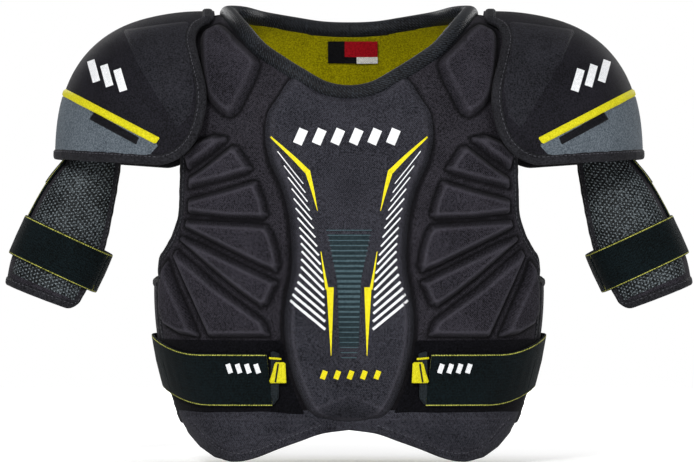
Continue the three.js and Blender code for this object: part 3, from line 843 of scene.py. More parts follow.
def bend_between(piece, side, sign, node, bodies, start, end, cut=None, on=""):
    """Bakes an elastic piece's transform into its mesh and hides its node. It spans the two bodies and bends
    from start to end, in mm on the left side, but nothing here attaches or bends it.
    """
    start, end = [(sign * x * MM, y * MM, z * MM) for x, y, z in (start, end)]
    [body.format(side) for body in bodies]
    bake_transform(piece)
    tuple(start)
    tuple(end)
    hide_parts(node.format(side))
    if cut is not None:
        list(cut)


# ---- chest ----
LINER_DEPTH = 9.0
neck_line = smooth_line([*NECK_FRONT, (121, 60)], 6)
armhole_line = smooth_line(ARMHOLE, 6)
side_v = np.linspace(-222, HEM_Z, 30)
side_line = np.stack([half_width(side_v) * math.sin(EDGE_ANGLE) ** (2 / PLAN), side_v], 1)
chest_half = [(0, -53), *neck_line[1:], (178, 60), *armhole_line, *side_line, (0, HEM_Z)]
chest_outline = mirrored([tuple(p) for p in chest_half])

chest = patch("chest_panel_skin", FRONT, chest_outline, 2.2, SHELL, creases, chest_groove)
place(chest, "chest", "shell", "chest_panel", pad=0.6)
liner = patch("chest_liner_skin", FRONT, chest_outline, 4.0, LINER, -LINER_DEPTH)
place(liner, "chest", "liner", "chest_liner", cut=(460, 440, 140000), on="chest_panel_skin")

for number, outline in enumerate(PAD_OUTLINES, 1):
    pad = moulded_pad(f"chest_pad_{number}_left_soft", FRONT, outline, 1.4, rise=8.8, flank=5.0)
    place_pair(pad, "chest", "pad", f"chest_pad_{number}_{{}}", pad=0.9)
clavicle = moulded_pad("clavicle_pad_left_soft", FRONT, CLAVICLE_OUTLINE, 1.6, rise=8.0, flank=7.0, dome=1.4)
place_pair(clavicle, "chest", "pad", "clavicle_pad_{}", pad=0.9)

sternum = patch("sternum_pad_soft", FRONT, STERNUM_OUTLINE, 1.5, STERNUM_CLOTH, sternum_height, sternum_groove)
place(sternum, "chest", "pad", "sternum_pad", pad=0.9)


def loop_height(x, z):
    return 1.8 + 0.3 * creases(x, z)


loop = patch("loop_patch_left_pile", FRONT, LOOP_PATCH, 2.0, LOOP_PILE, loop_height)
place_pair(loop, "chest", "loop", "loop_patch_{}", cut=(163, 75, 11600), on="chest_panel_skin")

belly_outline = mirrored(BELLY)


def belly_height(x, z):
    d = depth_inside(belly_outline, x, z)
    channel = np.exp(-(((d - 12) / 1.0) ** 2)) * (z < -376)
    return 1.4 + 1.6 * soft_cap(d / 10) - 1.0 * channel + creases(x, z)


belly = patch("belly_guard_soft", FRONT, belly_outline, 1.8, STERNUM_CLOTH, belly_height)
place(belly, "chest", "shell", "belly_guard", pad=0.8)

# Binding round the vest's front: armhole, side and belly, in one run a side.
belly_line = smooth_line(BELLY[2:], 4)
arm_run = armhole_line[armhole_line[:, 1] < ridge(armhole_line[:, 0]) - 1]
run = np.vstack([arm_run, side_line[:-1], belly_line])
u, v = FRONT.invert(*run.T)
u = np.minimum(u, EDGE_ANGLE)
front_tape, front_seam = edge_tape("front_binding_left", FRONT, u, v, (0, -120, -250))
place_pair(front_tape, "chest", "binding")

# ---- yoke, back panel and wings ----
yoke_neck = smooth_line([*NECK_BACK, (121, 60)], 6)
yoke_side = smooth_line(YOKE_SIDE, 6)
yoke_outline = mirrored([tuple(p) for p in [(0, 17), *yoke_neck[1:], (178, 60), *yoke_side, (0, YOKE_HEM_Z)]])
yoke = patch("yoke_panel_skin", REAR, yoke_outline, 2.6, SHELL, creases)
place(yoke, "chest", "shell", "yoke_panel", pad=0.6)


def quilted(x, z):
    """Lining with two seams running down and out from the neck."""
    seam = np.abs(x) - (44 + (4 - z) * 0.37)
    return -LINER_DEPTH + 1.2 * np.exp(-((seam / 1.6) ** 2)) + 0.3 * creases(x, z)


yoke_lining = patch("yoke_liner_skin", REAR, yoke_outline, 2.6, LINER, quilted)
place(yoke_lining, "chest", "liner", "yoke_liner", cut=(400, 200, 59000), on="yoke_panel_skin")
scapula_outline = rounded(SCAPULA, 2, 0.2)
scapula = moulded_pad("scapula_pad_left_soft", REAR, scapula_outline, 2.0, rise=8.4, flank=8.0, dome=1.2,
                      shade=0.7)
place_pair(scapula, "chest", "pad", "scapula_pad_{}", pad=0.8)

back_outline = mirrored(BACK)
back = patch("back_panel_skin", REAR, back_outline, 2.6, SHELL, creases)
place(back, "back", "shell", "back_panel", pad=0.6)
back_lining = patch("back_liner_skin", REAR, back_outline, 4.0, LINER, -LINER_DEPTH)
place(back_lining, "back", "liner", "back_liner", cut=(420, 232, 84500), on="back_panel_skin")
spine_outline = smooth_line(mirrored(SPINE), 6, closed=True)


def across_spine(z, width):
    """The grooves across the spine pad, one at each hand's width."""
    return sum(np.exp(-(((z - level) / width) ** 2)) for level in (-205, -255, -305))


def spine_height(x, z):
    return moulded(spine_outline, 11.5, 9.0)(x, z) - 3.5 * across_spine(z, 2.2)


# Painted shade on the spine pad's flanks and in the channels across it.
def spine_groove(x, z):
    return np.minimum(DARKEST_PAINTED_SHADE, flank_groove(spine_outline, 8.0, 0.7)(x, z) + 0.7 * across_spine(z, 3.0))


spine = patch("spine_pad_soft", REAR, spine_outline, 1.8, PAD_CLOTH, spine_height, spine_groove)
place(spine, "back", "pad", "spine_pad", pad=0.8)


yoke_run = yoke_side[yoke_side[:, 1] < ridge(yoke_side[:, 0]) - 1]
yoke_tape, yoke_seam = edge_tape("yoke_binding_left", REAR, *REAR.invert(*yoke_run.T), (0, 100, -60))
place_pair(yoke_tape, "chest", "binding")
back_line = smooth_line(BACK[1:6], 5)
back_tape, back_seam = edge_tape("back_binding_left", REAR, *REAR.invert(*back_line.T), (0, 100, -250))
place_pair(back_tape, "back", "binding")
hem_line = smooth_line([(-187, -347), *[(-x, z) for x, z in BACK[7:9]], *BACK[8:6:-1], (187, -347)], 5)
hem_tape, hem_seam = edge_tape("back_hem_binding", REAR, *REAR.invert(*hem_line.T), (0, 100, -250))
place(hem_tape, "back", "binding")

# The folding gusset between the yoke and the back panel.
gusset_x = np.linspace(-149, 149, 90)
gusset_z = np.linspace(-133, -153, 15)
gx, gz = grid(gusset_x, gusset_z)
gu, gv = REAR.invert(gx, gz)
swell = 0.9 * np.abs(np.sin((gz + 133) / 20 * math.pi * 3)) + 0.8
gusset = grid_piece("back_gusset", REAR.point(gu, gv, swell), REAR.normal(gu, gv), ELASTIC,
                    np.stack([gx, gz], -1))
thicken(gusset, 1.4)
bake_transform(gusset)

# Side wings: the lobe at the side, bound at the front, and sewn to the back panel.
WING_FROM, WING_TO = math.radians(74.6), math.radians(105.4)


def wing_bottom(share):
    return -345 - 45 * np.sin(math.pi * np.minimum(1, share * 1.35)) ** 0.6 * (1 - 0.5 * share)


def wing_top(share):
    return -240 + 6 * share


share, up = grid(np.linspace(0, 1, 26), np.linspace(0, 1, 50))
wing_u = WING_FROM + (WING_TO - WING_FROM) * share
wing_v = wing_bottom(share) + (wing_top(share) - wing_bottom(share)) * up
wing_lift = 0.3 * creases(wing_u * 200, wing_v)
wing = grid_piece("side_wing_left_skin", ROUND.point(wing_u, wing_v, wing_lift), ROUND.normal(wing_u, wing_v),
                  SHELL, np.stack([wing_u * 190, wing_v], -1))
thicken(wing, 6.6)
place_pair(wing, "back", "shell", "side_wing_{}", pad=0.5)
rim = [(105.4, -234.0), (90, -237.0), (74.9, -240.0), (74.6, -243.0), (74.6, -290.0), (74.6, -343.0)]
rim_u = np.radians([a for a, _ in rim])
rim_v = np.array([z for _, z in rim])
lobe = np.linspace(0.02, 1, 30)
rim_u = np.append(rim_u, WING_FROM + (WING_TO - WING_FROM) * lobe)
rim_v = np.append(rim_v, wing_bottom(lobe))
wing_tape, wing_seam = edge_tape("wing_binding_left", ROUND, rim_u, rim_v, (195, 0, -300), 8.5, 9.0)
place_pair(wing_tape, "back", "binding")
seam_v = np.linspace(-236, -343, 40)
seam_u = np.full(40, WING_TO)
p, n, t, _ = trace(ROUND, seam_u, seam_v, 2.5)
seam_tape = tube("wing_seam_tape_left", p, unit(np.cross(n, t)), n, ellipse(5.5, 1.3), BINDING)
place_pair(seam_tape, "back", "binding")

# Shoulder seams: a tape over the ridge where the front meets the yoke.
tape_x = np.linspace(116, 174, 30)
ridge_line = np.stack([tape_x, 0 * tape_x, ridge(tape_x) - 0.6], 1)
tape_t = unit(np.gradient(ridge_line, axis=0))
tape_across = np.tile([0.0, 1.0, 0.0], (30, 1))
tape_up = np.cross(tape_t, tape_across)
shoulder_tape = tube("shoulder_tape_left", ridge_line, tape_across, tape_up, ellipse(10, 1.8), BINDING)
place_pair(shoulder_tape, "chest", "binding")

# ---- collar ----
def on_surface(points, surface, share):
    """The line of [x, z] points on the surface, drawn in towards the middle to a share of its depth."""
    x, z = np.array(points, float).T
    depth = surface.base(*surface.invert(x, z))[:, 1]
    return np.stack([x, share * depth, z], 1)


neck_front, neck_back = on_surface(NECK_FRONT, FRONT, 0.97), on_surface(NECK_BACK, REAR, 0.97)
left_half = np.vstack([neck_front, [[121.5, 2.0, 31.0]], neck_back[::-1]])
right_half = left_half[1:-1][::-1] * [-1, 1, 1]
ring = smooth_line(np.vstack([left_half, right_half]), 2.2, closed=True)
ring = np.roll(ring, len(ring) // 2, axis=0)
ring_t = unit(np.roll(ring, -1, 0) - np.roll(ring, 1, 0))
ring_across = unit(np.cross(ring_t, unit(ring - [0, 0, -60])))
ring_up = np.cross(ring_across, ring_t)
roll = ellipse(COLLAR_RADIUS, COLLAR_RADIUS, 26, 2.0)
collar = tube("collar_roll_knit", ring, ring_across, ring_up, roll, COLLAR, closed=True)
place(collar, "chest", "collar", "collar_roll", pad=0.9)

# Size label on the lining: a red upper part, a black and a white lower part, all blank.
LABEL_LEFT, LABEL_SPLIT, LABEL_RIGHT = -22.0, 8.0, 30.0
LABEL_TOP, LABEL_FOLD, LABEL_BOTTOM = 12.0, -5.0, -12.0
label_x = [*np.linspace(LABEL_LEFT, LABEL_SPLIT, 13)[:-1], *np.linspace(LABEL_SPLIT, LABEL_RIGHT, 10)]
label_z = [*np.linspace(LABEL_TOP, LABEL_FOLD, 8)[:-1], *np.linspace(LABEL_FOLD, LABEL_BOTTOM, 5)]
lx, lz = grid(label_x, label_z)
lu, lv = REAR.invert(lx, lz)
curl = -11.2 - 0.5 * np.sin(lx / 9) * ramp(LABEL_TOP, LABEL_BOTTOM, lz)
mid_x, mid_z = (lx[1:, 1:] + lx[:-1, :-1]) / 2, (lz[1:, 1:] + lz[:-1, :-1]) / 2
upper, dark = mid_z > LABEL_FOLD, mid_x < np.where(mid_z > LABEL_FOLD, -4.0, LABEL_SPLIT)
label_slots = np.where(dark, 1, np.where(upper, 0, 2)).ravel()
label = grid_piece("neck_label_cloth", REAR.point(lu, lv, curl), REAR.normal(lu, lv),
                   [LABEL_RED, LABEL_BLACK, LABEL_WHITE], np.stack([lx, lz], -1), label_slots)
place(label, "chest", "label", "neck_label")


# ---- prints and stitches on the front ----
def front_print(name, strips, material, height=sternum_height, lift=0.28, both=True, surface=FRONT):
    """Flat bands of ink on a surface, mirrored if on both sides. A strip is its centre line and its width at
    each end."""
    points, faces = [], []
    for line, start_width, end_width in strips:
        for side in (1, -1) if both else (1,):
            centre = smooth_line(line, 2.0) if len(line) > 2 else np.linspace(line[0], line[1], 14)
            tangent = unit(np.gradient(centre, axis=0))
            normal = np.stack([-tangent[:, 1], tangent[:, 0]], 1)
            widths = np.linspace(start_width, end_width, len(centre))[:, None]
            edges = np.stack([centre + normal * widths * k for k in (0.5, 0, -0.5)], 1).reshape(-1, 2)
            x, z = side * edges[:, 0], edges[:, 1]
            u, v = surface.invert(x, z)
            first = len(points)
            points.extend(surface.point(u, v, height(x, z) + lift))
            for i in range(len(centre) - 1):
                for j in range(2):
                    a = first + 3 * i + j
                    quad = (a, a + 1, a + 4, a + 3)
                    faces.append(quad if side > 0 else quad[::-1])
    points = np.array(points)
    return make_mesh(name, points, faces, material, points[:, [0, 2]])


SLASHES = 18
# Where the slanted lines' outer and inner ends lie, at shares of the way down the row: (share, x, z).
OUTER_ENDS = [(0, 69, -111), (0.06, 62.5, -125), (0.18, 55, -148), (0.41, 48, -185), (0.59, 45.7, -209),
              (0.71, 46.6, -224.5), (0.82, 49.7, -238.3), (1, 57.2, -257)]
INNER_ENDS = [(0, 44.3, -142.4), (0.24, 35.9, -178.2), (0.59, 25.8, -230.6), (0.65, 24.8, -239.1),
              (1, 23.1, -285.3)]


def along(ends, share):
    shares, xs, zs = zip(*ends)
    return float(np.interp(share, shares, xs)), float(np.interp(share, shares, zs))


def slash(number):
    """One of the white slanted lines, wider towards the bottom."""
    share = number / (SLASHES - 1)
    width = 0.9 + 1.7 * share
    return [along(INNER_ENDS, share), along(OUTER_ENDS, share)], width, width


white = front_print("sternum_print_white", [slash(i) for i in range(SLASHES)], PRINT_WHITE)
place(white, "chest", "label")
yellow_lines = [
    ([(76, -97), (54, -117), (40, -131)], 1.6, 5.0),
    ([(40.2, -130), (35.2, -149), (30.6, -169)], 5.0, 0.5),
    ([(27.3, -209), (23.8, -232), (21.4, -246)], 0.7, 3.0),
    ([(18.4, -244), (18.0, -275), (17.5, -311)], 7.0, 0.5),
]
place(front_print("sternum_print_yellow", yellow_lines, PRINT_YELLOW), "chest", "accent")
backing = [([(0, -192), (0, -236)], 40.0, 24.0), ([(0, -236), (0, -302)], 24.0, 19.0)]
place(front_print("sternum_print_backing", backing, PRINT_TEAL, lift=0.2, both=False), "chest", "grey_panel")
BARS = 26
bars = []
for number in range(BARS):
    level = number / (BARS - 1)
    half = float(np.interp(level, (0, 0.16, 0.34, 0.42, 0.9, 1), (22, 18, 12.7, 11.2, 9.2, 7.5)))
    thick = 0.9 + 1.7 * math.sin(math.pi * min(1, level * 1.15)) ** 2
    z = -188 - 125 * level
    bars.append(([(-half, z), (half, z)], thick, thick))
place(front_print("sternum_print_bars", bars, PRINT_GREY, both=False), "chest", "grey_panel")

chest_mark = [([(-50 + 18 * k, -104), (-44 + 18 * k, -90)], 9.0, 9.0) for k in range(6)]
place(front_print("sternum_print_blocks", chest_mark, PRINT_WHITE, both=False), "chest", "label")
low_mark = [([(-26 + 13 * k, -334), (-23 + 13 * k, -326)], 5.0, 5.0) for k in range(5)]
place(front_print("sternum_print_marks", low_mark, PRINT_YELLOW, both=False), "chest", "accent")

belly_stitch_line = smooth_line([(x * 0.94, z + 9) for x, z in BELLY[3:-1]], 3)
bu, bv = FRONT.invert(*belly_stitch_line.T)
belly_thread = (FRONT.point(bu, bv, belly_height(*belly_stitch_line.T) + 0.2), FRONT.normal(bu, bv))
place_pair(stitches("front_stitches_left", [front_seam, belly_thread]), "chest", "binding")
place_pair(stitches("yoke_stitches_left", [yoke_seam]), "chest", "binding")
place_pair(stitches("back_stitches_left", [back_seam, wing_seam]), "back", "binding")
place(stitches("back_hem_stitches", [hem_seam]), "back", "binding")


# ---- waist straps ----
def webbing_section(width, low, high):
    """A flat strap's section as (across, height) points, and which of its sides carry the edge threads."""
    half = width / 2
    steps = [-half, -half + 0.5, -half + 0.9, -half + 1.9, -half * 0.6, 0, half * 0.6, half - 1.9, half - 0.9,
             half - 0.5, half]
    middle = (low + high) / 2
    top = [(a, middle if abs(a) == half else high + (0.25 if 1 < half - abs(a) < 2 else 0)) for a in steps]
    under = [(a, low) for a in steps[-2:0:-1]]
    section = np.array(top + under)
    bands = np.zeros(len(section), int)
    bands[[2, 7]] = 1
    return section, bands


def strap_centre(angle):
    return STRAP_Z + STRAP_RISE * ramp(45, 90, np.degrees(angle))


def waist_strap(name, start, end):
    section, bands = webbing_section(STRAP_HEIGHT, 3.0, 5.4)
    angles = even(lambda a: ROUND.base(a, strap_centre(a)), start, end, 3.0)
    a, across = grid(angles, section[:, 0])
    lift = section[:, 1][None] + 0.25 * np.sin(a * 55) * np.cos(across / 12)
    rings = ROUND.point(a, strap_centre(a) + across, lift)
    return loft(name, rings, WEBBING, bands=bands)


strap_start = math.asin((STRAP_INNER / float(half_width(STRAP_Z))) ** (PLAN / 2))
STRAP_BACK_END = math.radians(124)
rear_half = waist_strap("waist_strap_side_left_web", STRAP_SPLIT - 0.02, STRAP_BACK_END)
front_half = waist_strap("waist_strap_front_left_web", strap_start, STRAP_SPLIT + 0.01)
for sided_rear, sided_front in zip(both_sides(rear_half), both_sides(front_half)):
    bend_between(*sided_rear, "waist_strap_side_{}", ("back", "waist_strap_{}"),
                 (165.2, 70.4, -318.5), (176.2, 50.4, -318.5),
                 (142, STRAP_HEIGHT, 142 * STRAP_HEIGHT), "side_wing_{}_skin")
    bend_between(*sided_front, "waist_strap_front_{}", ("waist_strap_{}", "strap_end_{}"),
                 (184.5, -53.2, -325.7), (170.5, -73.2, -325.7),
                 (137, STRAP_HEIGHT, 137 * STRAP_HEIGHT), "loop_patch_{}_pile")

# The tabs at the strap's end: outline, mesh step, cloth, lift, thickness, slot and node.
STRAP_TABS = {
    "hook_tab_left": ([(68, -310), (75.5, -307), (76.5, -307), (76.5, -362), (75, -362), (69, -354)],
                      1.3, HOOK_GREY, 5.2, 2.4, "elastic"),
    "pull_tab_left_web": ([(62, -318), (72, -318), (74.5, -328), (78, -338.5), (61, -338.5)],
                          1.2, YELLOW, 8.0, 1.8, "accent", "pull_tab_{}"),
    "pull_tab_fold_left": ([(67.8, -319), (69.5, -319), (72.3, -338), (70.7, -338)],
                           0.6, BLACK_THREAD, 8.35, 0, "accent"),
    "pull_tab_top_left": ([(66, -314), (78, -313), (78, -315), (66, -316)], 0.8, YELLOW, 6.4, 1.0, "accent"),
}
for name, (outline, step, material, lift, thickness, slot, *nodes) in STRAP_TABS.items():
    tab = patch(name, FRONT, outline, step, material, lift)
    if thickness:
        thicken(tab, thickness)
    place_pair(tab, "strap_end_{}", slot, *nodes)
STRAP_FACE = 5.4
strap_mark = [([(88 + 9 * k, -329), (91 + 9 * k, -320)], 4.6, 4.6) for k in range(4)]
mark = front_print("strap_print_left", strap_mark, PRINT_WHITE, lambda x, z: 0 * x + STRAP_FACE, 0.35, False)
place_pair(mark, "strap_end_{}", "label")

# ---- shoulder caps ----
cap_shape = [(130, 60), (325, 60), (325, -114), *CAP_EDGE[::-1], (133, 40)]
cap_edge_line = smooth_line([(297.2, -115.8), *CAP_EDGE[::-1], (133, 33.9)], 4)


def stripe_line(x, drop=0.0):
    return STRIPE_Z + STRIPE_SLOPE * (x - STRIPE_X) - drop


def cap_wrinkles(x, z):
    """Shallow folds of a cover over foam."""
    long_folds = np.sin((x + 0.6 * z) / 13 + 1.4 * np.sin(z / 37))
    return 0.3 * long_folds * np.sin(x / 29 + z / 43) + 0.2 * creases(x, z)


cap_cover = patch("cap_cover_left_knit", CAP, cap_shape, 2.2, CAP_KNIT, lambda x, z: cap_wrinkles(x, z) - 0.2)
thicken(cap_cover, 2.0)
place_pair(cap_cover, "cap_{}", "cap_shell", "cap_cover_{}", pad=0.7)


def cap_lining_height(x, z):
    """Inside the plate, and drawn out to the binding at the edge."""
    return -2.8 - 3.1 * soft_cap(depth_inside(cap_shape, x, z) / 8)


cap_lining = patch("cap_lining_left", CAP, cap_shape, 4.0, SHELL, cap_lining_height)
place_pair(cap_lining, "cap_{}", "liner")


def raised(outline, rise, edge=1.6, sunk=0.3):
    """The relief of a piece sewn flat on the cap."""
    def height(x, z):
        return rise * soft_cap(depth_inside(outline, x, z) / edge) - sunk + cap_wrinkles(x, z)
    return height


def sewn_on_cap(name, outline, step, material, relief, slot, *nodes, **soft):
    """A flat cloth on the left cap, and its mirror image. relief is its rise, and where they differ from
    the usual the width of its edge and how far it is sunk."""
    piece = patch(name, CAP, outline, step, material, raised(outline, *relief))
    place_pair(piece, "cap_{}", slot, *nodes, **soft)


grey_outline = [(188, stripe_line(188, 7.5)), (325, stripe_line(325, 7.5)), (325, -112), (293, -114),
                (250, -118), (214, -120), (203, -120)]
sewn_on_cap("cap_lower_panel_left_cloth", grey_outline, 1.9, GREY, (1.1,), "grey_panel", "cap_lower_panel_{}",
            pad=0.7)
stripe_outline = [(187, stripe_line(187)), (325, stripe_line(325)), (325, stripe_line(325, 9.4)),
                  (192, stripe_line(192, 9.4))]
sewn_on_cap("cap_stripe_left_tape", stripe_outline, 1.5, YELLOW, (2.0, 1.8), "accent", "cap_stripe_{}")
mesh_outline = [(160, 22), (228, 14), (211, -22), (170, -88), (157, -74), (153, -45), (158, -15), (163, 5)]
sewn_on_cap("cap_stretch_panel_left", mesh_outline, 1.9, CAP_MESH, (1.0, 2.4), "cap_shell",
            cut=(270, 75, 12500), on="cap_cover_{}_knit")
cap_label_outline = [(254, -70.5), (207, -96.5), (210, -104), (259, -78)]
sewn_on_cap("cap_label_left", cap_label_outline, 1.2, LABEL_BLACK, (1.5, 1.0, -0.4), "label",
            cut=(104, 12.5, 1280), on="cap_lower_panel_{}_cloth")

# The binding round the cap: up its front edge, and down again behind.
loop_u, loop_v = CAP.invert(*cap_edge_line.T, -1)
loop_u = np.clip(np.concatenate([loop_u, loop_u[::-1]]), *CAP_U_RANGE)
loop_v = np.concatenate([loop_v, -loop_v[::-1]])
cap_tape, cap_seam = edge_tape("cap_binding_left_knit", CAP, loop_u, loop_v, (260, 0, 0), 10.5, 6.4,
                               closed=True, proud=2.0)
place_pair(cap_tape, "cap_{}", "binding", "cap_binding_{}")
place_pair(stitches("cap_stitches_left", [cap_seam]), "cap_{}", "binding")
cap_mark = [([(224 + 14 * k, -50 + 5 * k), (231 + 14 * k, -28 + 5 * k)], 8.0, 8.0) for k in range(3)]
cap_print = front_print("cap_print_left", cap_mark, PRINT_WHITE, cap_wrinkles, 0.5, False, CAP)
place_pair(cap_print, "cap_{}", "label")

# ---- arm guards ----
def corner_cut(u, radius=15.0, girth=42.0):
    """How much of the sleeve's length its rounded corners take, at an angle u."""
    near = np.minimum(u - ARM_FROM, ARM_TO - u) * girth
    share = np.clip(1 - near / radius, 0, 1)
    return radius * (1 - np.sqrt(1 - share**2)) / 180


sleeve_u = np.linspace(ARM_FROM, ARM_TO, 130)
sleeve_share = np.linspace(0.0, 1.0, 90)
uu, share = grid(sleeve_u, sleeve_share)
vv = share * (1 - corner_cut(uu)) + (1 - share) * 0.3 * corner_cut(uu)
sleeve_points = SLEEVE.point(uu, vv, 0.25 * np.sin(uu * 7 + vv * 9))
around = np.stack([running_length(column) for column in np.moveaxis(sleeve_points, 1, 0)], 1)
down = np.stack([running_length(row) for row in sleeve_points])
sleeve_uv = np.stack([around - around[len(sleeve_u) // 2], down], -1)
mid_u, mid_v = np.degrees(uu[:-1, :-1]), vv[:-1, :-1]
open_mesh = (mid_v < 0.91) & (((mid_u > -138) & (mid_u < -34)) | ((mid_u > 30) & (mid_u < 98)))
guard = grid_piece("arm_guard_left_mesh", sleeve_points, SLEEVE.normal(uu, vv), [SHELL, MESH_CLOTH], sleeve_uv,
                   open_mesh.astype(int).ravel())
thicken(guard, 3.2)
place_pair(guard, "arm_{}", "spacer_mesh", "arm_guard_{}", pad=0.7)
edge_u = np.linspace(ARM_FROM + 0.002, ARM_TO - 0.002, 120)
rim_u = np.concatenate([edge_u, np.full(20, ARM_TO), edge_u[::-1], np.full(20, ARM_FROM)])
top_v, bottom_v = 0.3 * corner_cut(edge_u) + 0.004, 0.996 - corner_cut(edge_u)
side_v = np.linspace(top_v[0] + 0.02, bottom_v[0] - 0.02, 20)
rim_v = np.concatenate([top_v, side_v, bottom_v[::-1], side_v[::-1]])
arm_tape, arm_seam = edge_tape("arm_binding_left", SLEEVE, rim_u, rim_v, (300, 0, -180), 9.0, 6.4,
                               closed=True, proud=1.6)
place_pair(arm_tape, "arm_{}", "binding")
place_pair(stitches("arm_stitches_left", [arm_seam]), "arm_{}", "binding")

PLATE_HALF_ANGLE = math.radians(80)


def behind_sleeve(name, u, v, lift, material):
    """A smooth piece inside the arm guard, from grids of its angles, lengths and lift."""
    return grid_piece(name, SLEEVE.point(u, v, lift), SLEEVE.normal(u, v), material,
                      np.stack([u * 40, v * 180], -1))


plate_u = np.linspace(-PLATE_HALF_ANGLE, PLATE_HALF_ANGLE, 40)
pu, pv = grid(plate_u, np.linspace(0.1, 0.92, 30))
arm_plate = behind_sleeve("arm_plate_left_moulded", pu, pv, 0.5 * np.cos(pv * 60) - 5.4, PLASTIC)
thicken(arm_plate, 1.6)
place_pair(arm_plate, "arm_{}", "plastic", "arm_plate_{}")

# A lining over the plate, drawn out to the guard's foam at its edge.
lu, lv = grid(np.linspace(-1, 1, 41), np.linspace(-1, 1, 41))
edge_share = 1 - np.maximum(np.abs(lu), np.abs(lv))
lining_lift = -3.4 - 4.6 * soft_cap(edge_share / 0.12)
lu, lv = lu * (PLATE_HALF_ANGLE + 0.12), 0.51 + 0.46 * lv
arm_lining = behind_sleeve("arm_lining_left", lu, lv, lining_lift, SHELL)
place_pair(arm_lining, "arm_{}", "liner")


def arm_strap(name, start, end):
    middle = (ARM_STRAP_TOP + ARM_STRAP_BOTTOM) / 2
    ends = SLEEVE.base(np.array([-1.5, -1.5]), np.array([ARM_STRAP_TOP, ARM_STRAP_BOTTOM]))
    width = float(np.linalg.norm(ends[1] - ends[0]))
    section, bands = webbing_section(width, 2.0, 4.4)
    angles = even(lambda a: SLEEVE.base(a, np.full_like(a, middle)), start, end, 3.0)
    a, across = grid(angles, section[:, 0])
    v = middle - across / width * (ARM_STRAP_BOTTOM - ARM_STRAP_TOP)
    rings = SLEEVE.point(a, v, np.broadcast_to(section[:, 1], a.shape))
    return loft(name, rings, WEBBING, bands=bands)


band = arm_strap("arm_strap_band_left_web", ARM_FROM - 0.08, ARM_STRAP_HINGE - 0.01)
place_pair(band, "arm_{}", "elastic", "arm_strap_band_{}")
flap = arm_strap("arm_strap_flap_left_web", ARM_STRAP_HINGE - 0.02, math.radians(204))
for sided_flap in both_sides(flap):
    bend_between(*sided_flap, "arm_strap_flap_{}", ("arm_{}", "arm_flap_{}"), (331.7, 24.6, -193.4),
                 (323.7, 40.6, -193.4))


# A short strap down the outside of each guard, sewn on under the cap.
def side_strap(name, top, bottom, half_width, lift):
    v = np.linspace(top, bottom, 40)
    section, bands = webbing_section(2 * half_width, lift, lift + 2)
    vv, across = grid(v, section[:, 0])
    rings = SLEEVE.point(across / 40, vv, np.broadcast_to(section[:, 1], vv.shape))
    return loft(name, rings, WEBBING, bands=bands)


place_pair(side_strap("arm_side_strap_left", 0.2, 0.42, 17, 1.6), "arm_{}", "elastic")
place_pair(side_strap("arm_side_web_left", 0.38, 0.62, 12, 0.6), "arm_{}", "elastic")

# Hangers: a webbing strip that holds each arm guard under its cap.
HANGER_X, HANGER_WIDTH, HANGER_THICK = 247.0, 34.0, 2.4


def hanger(name, top, bottom):
    z = np.linspace(top, bottom, 18)
    centre = np.stack([0 * z + HANGER_X, 0 * z, z], 1)
    section, bands = webbing_section(HANGER_WIDTH, -HANGER_THICK / 2, HANGER_THICK / 2)
    return tube(name, centre, 0 * centre + (0, 1, 0), 0 * centre + (1, 0, 0), section, WEBBING, bands=bands)


upper, lower = hanger("arm_hanger_left_upper", -40, -71), hanger("arm_hanger_left_lower", -69, -100)
for strip, bodies, bend_top, bend_bottom in (
    (upper, ("cap_{}", "hanger_{}"), -47, -60),
    (lower, ("hanger_{}", "arm_{}"), -82, -95),
):
    for sided_strip in both_sides(strip):
        ends = (HANGER_X, 0, bend_top), (HANGER_X, 0, bend_bottom)
        bend_between(*sided_strip, "arm_hanger_{}", bodies, *ends)

# ---- hidden plates keep their CAD shape ----
for node in ("sternum_plate", "cap_plate_left", "cap_plate_right"):
    for material_slot in bpy.data.objects[node].material_slots:
        material_slot.material = PLASTIC

# ---- floor, light and camera ----
FLOOR_Z, FLOOR_RADIUS = -0.4225, 2.4
FLOOR_CORNERS = 64
turns = np.linspace(0, 2 * math.pi, FLOOR_CORNERS, endpoint=False)
rim = np.stack([FLOOR_RADIUS * np.cos(turns), FLOOR_RADIUS * np.sin(turns), 0 * turns + FLOOR_Z], 1)
paper = Shader("pale_paper", 0.9, 0.0, 0.1)
paper_tone = paper.mix(paper.noise(60), (0.86, 0.86, 0.86, 1), (0.9, 0.9, 0.9, 1))
paper.put(paper.bsdf.inputs["Base Color"], paper_tone)
paper.bsdf.inputs["Emission Color"].default_value = (1, 1, 1, 1)
reach = paper.node("ShaderNodeVectorMath")
reach.operation = "LENGTH"
paper.tree.links.new(paper.object_place, reach.inputs[0])
far = paper.clamp(paper.scaled(reach.outputs["Value"], 0.8, -0.5))
paper.put(paper.bsdf.inputs["Emission Strength"], paper.scaled(far, 0.7, 0.3))
floor_mesh = bpy.data.meshes.new("floor")
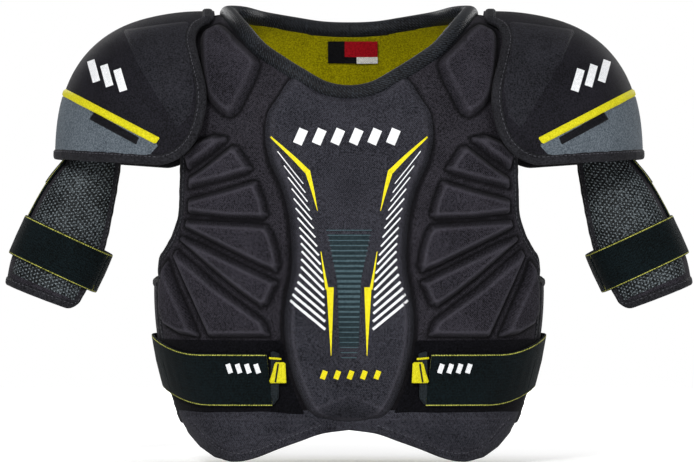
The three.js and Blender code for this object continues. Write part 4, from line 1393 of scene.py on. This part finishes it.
floor_mesh.from_pydata(rim.tolist(), [], [range(FLOOR_CORNERS)])
floor_mesh.materials.append(paper.material)
new_object("floor", floor_mesh)


def area_light(name, place_m, size, power):
    light = bpy.data.lights.new(name, "AREA")
    light.size, light.energy, light.shape = size, power, "DISK"
    obj = new_object(name, light)
    obj.location = place_m
    direction = np.array(place_m) - LIGHT_AIM
    obj.rotation_euler = (math.atan2(math.hypot(direction[0], direction[1]), direction[2]), 0,
                          math.atan2(direction[0], -direction[1]))


LIGHT_AIM = np.array([0, 0, -0.2])
area_light("key", (-0.9, -2.8, 1.2), 0.8, 70)
area_light("fill", (1.5, -2.6, 0.2), 1.0, 24)
area_light("rim_left", (-1.2, 2.2, 1.0), 1.0, 22)
area_light("rim_right", (1.5, 2.0, 0.8), 1.0, 22)
area_light("top", (0.1, 0.1, 1.9), 1.2, 10)

# The sky is white where it is seen, and dimmer as a light.
SKY_LIGHT = 0.3
world = bpy.data.worlds.new("studio")
world.use_nodes = True
sky = world.node_tree
sky_seen = sky.nodes.new("ShaderNodeLightPath").outputs["Is Camera Ray"]
strength = sky.nodes.new("ShaderNodeMath")
strength.operation = "MULTIPLY_ADD"
strength.inputs[1].default_value = 1.0 - SKY_LIGHT
strength.inputs[2].default_value = SKY_LIGHT
sky.links.new(sky_seen, strength.inputs[0])
sky.nodes["Background"].inputs["Color"].default_value = (1, 1, 1, 1)
sky.links.new(strength.outputs[0], sky.nodes["Background"].inputs["Strength"])
bpy.context.scene.world = world

# The camera looks level at the front. One picture element is about a millimetre at the chest's face.
PICTURE_WIDTH = 0.694
CAMERA_DISTANCE = 5.0
camera = bpy.data.cameras.new("camera")
camera.sensor_width = 36
camera.lens = 36 * CAMERA_DISTANCE / PICTURE_WIDTH
camera_object = new_object("camera", camera)
camera_object.location = (-0.002, -0.06 - CAMERA_DISTANCE, -0.189)
camera_object.rotation_euler = (math.radians(90), 0, 0)
bpy.context.scene.camera = camera_object
bpy.context.scene.view_settings.view_transform = "Standard"
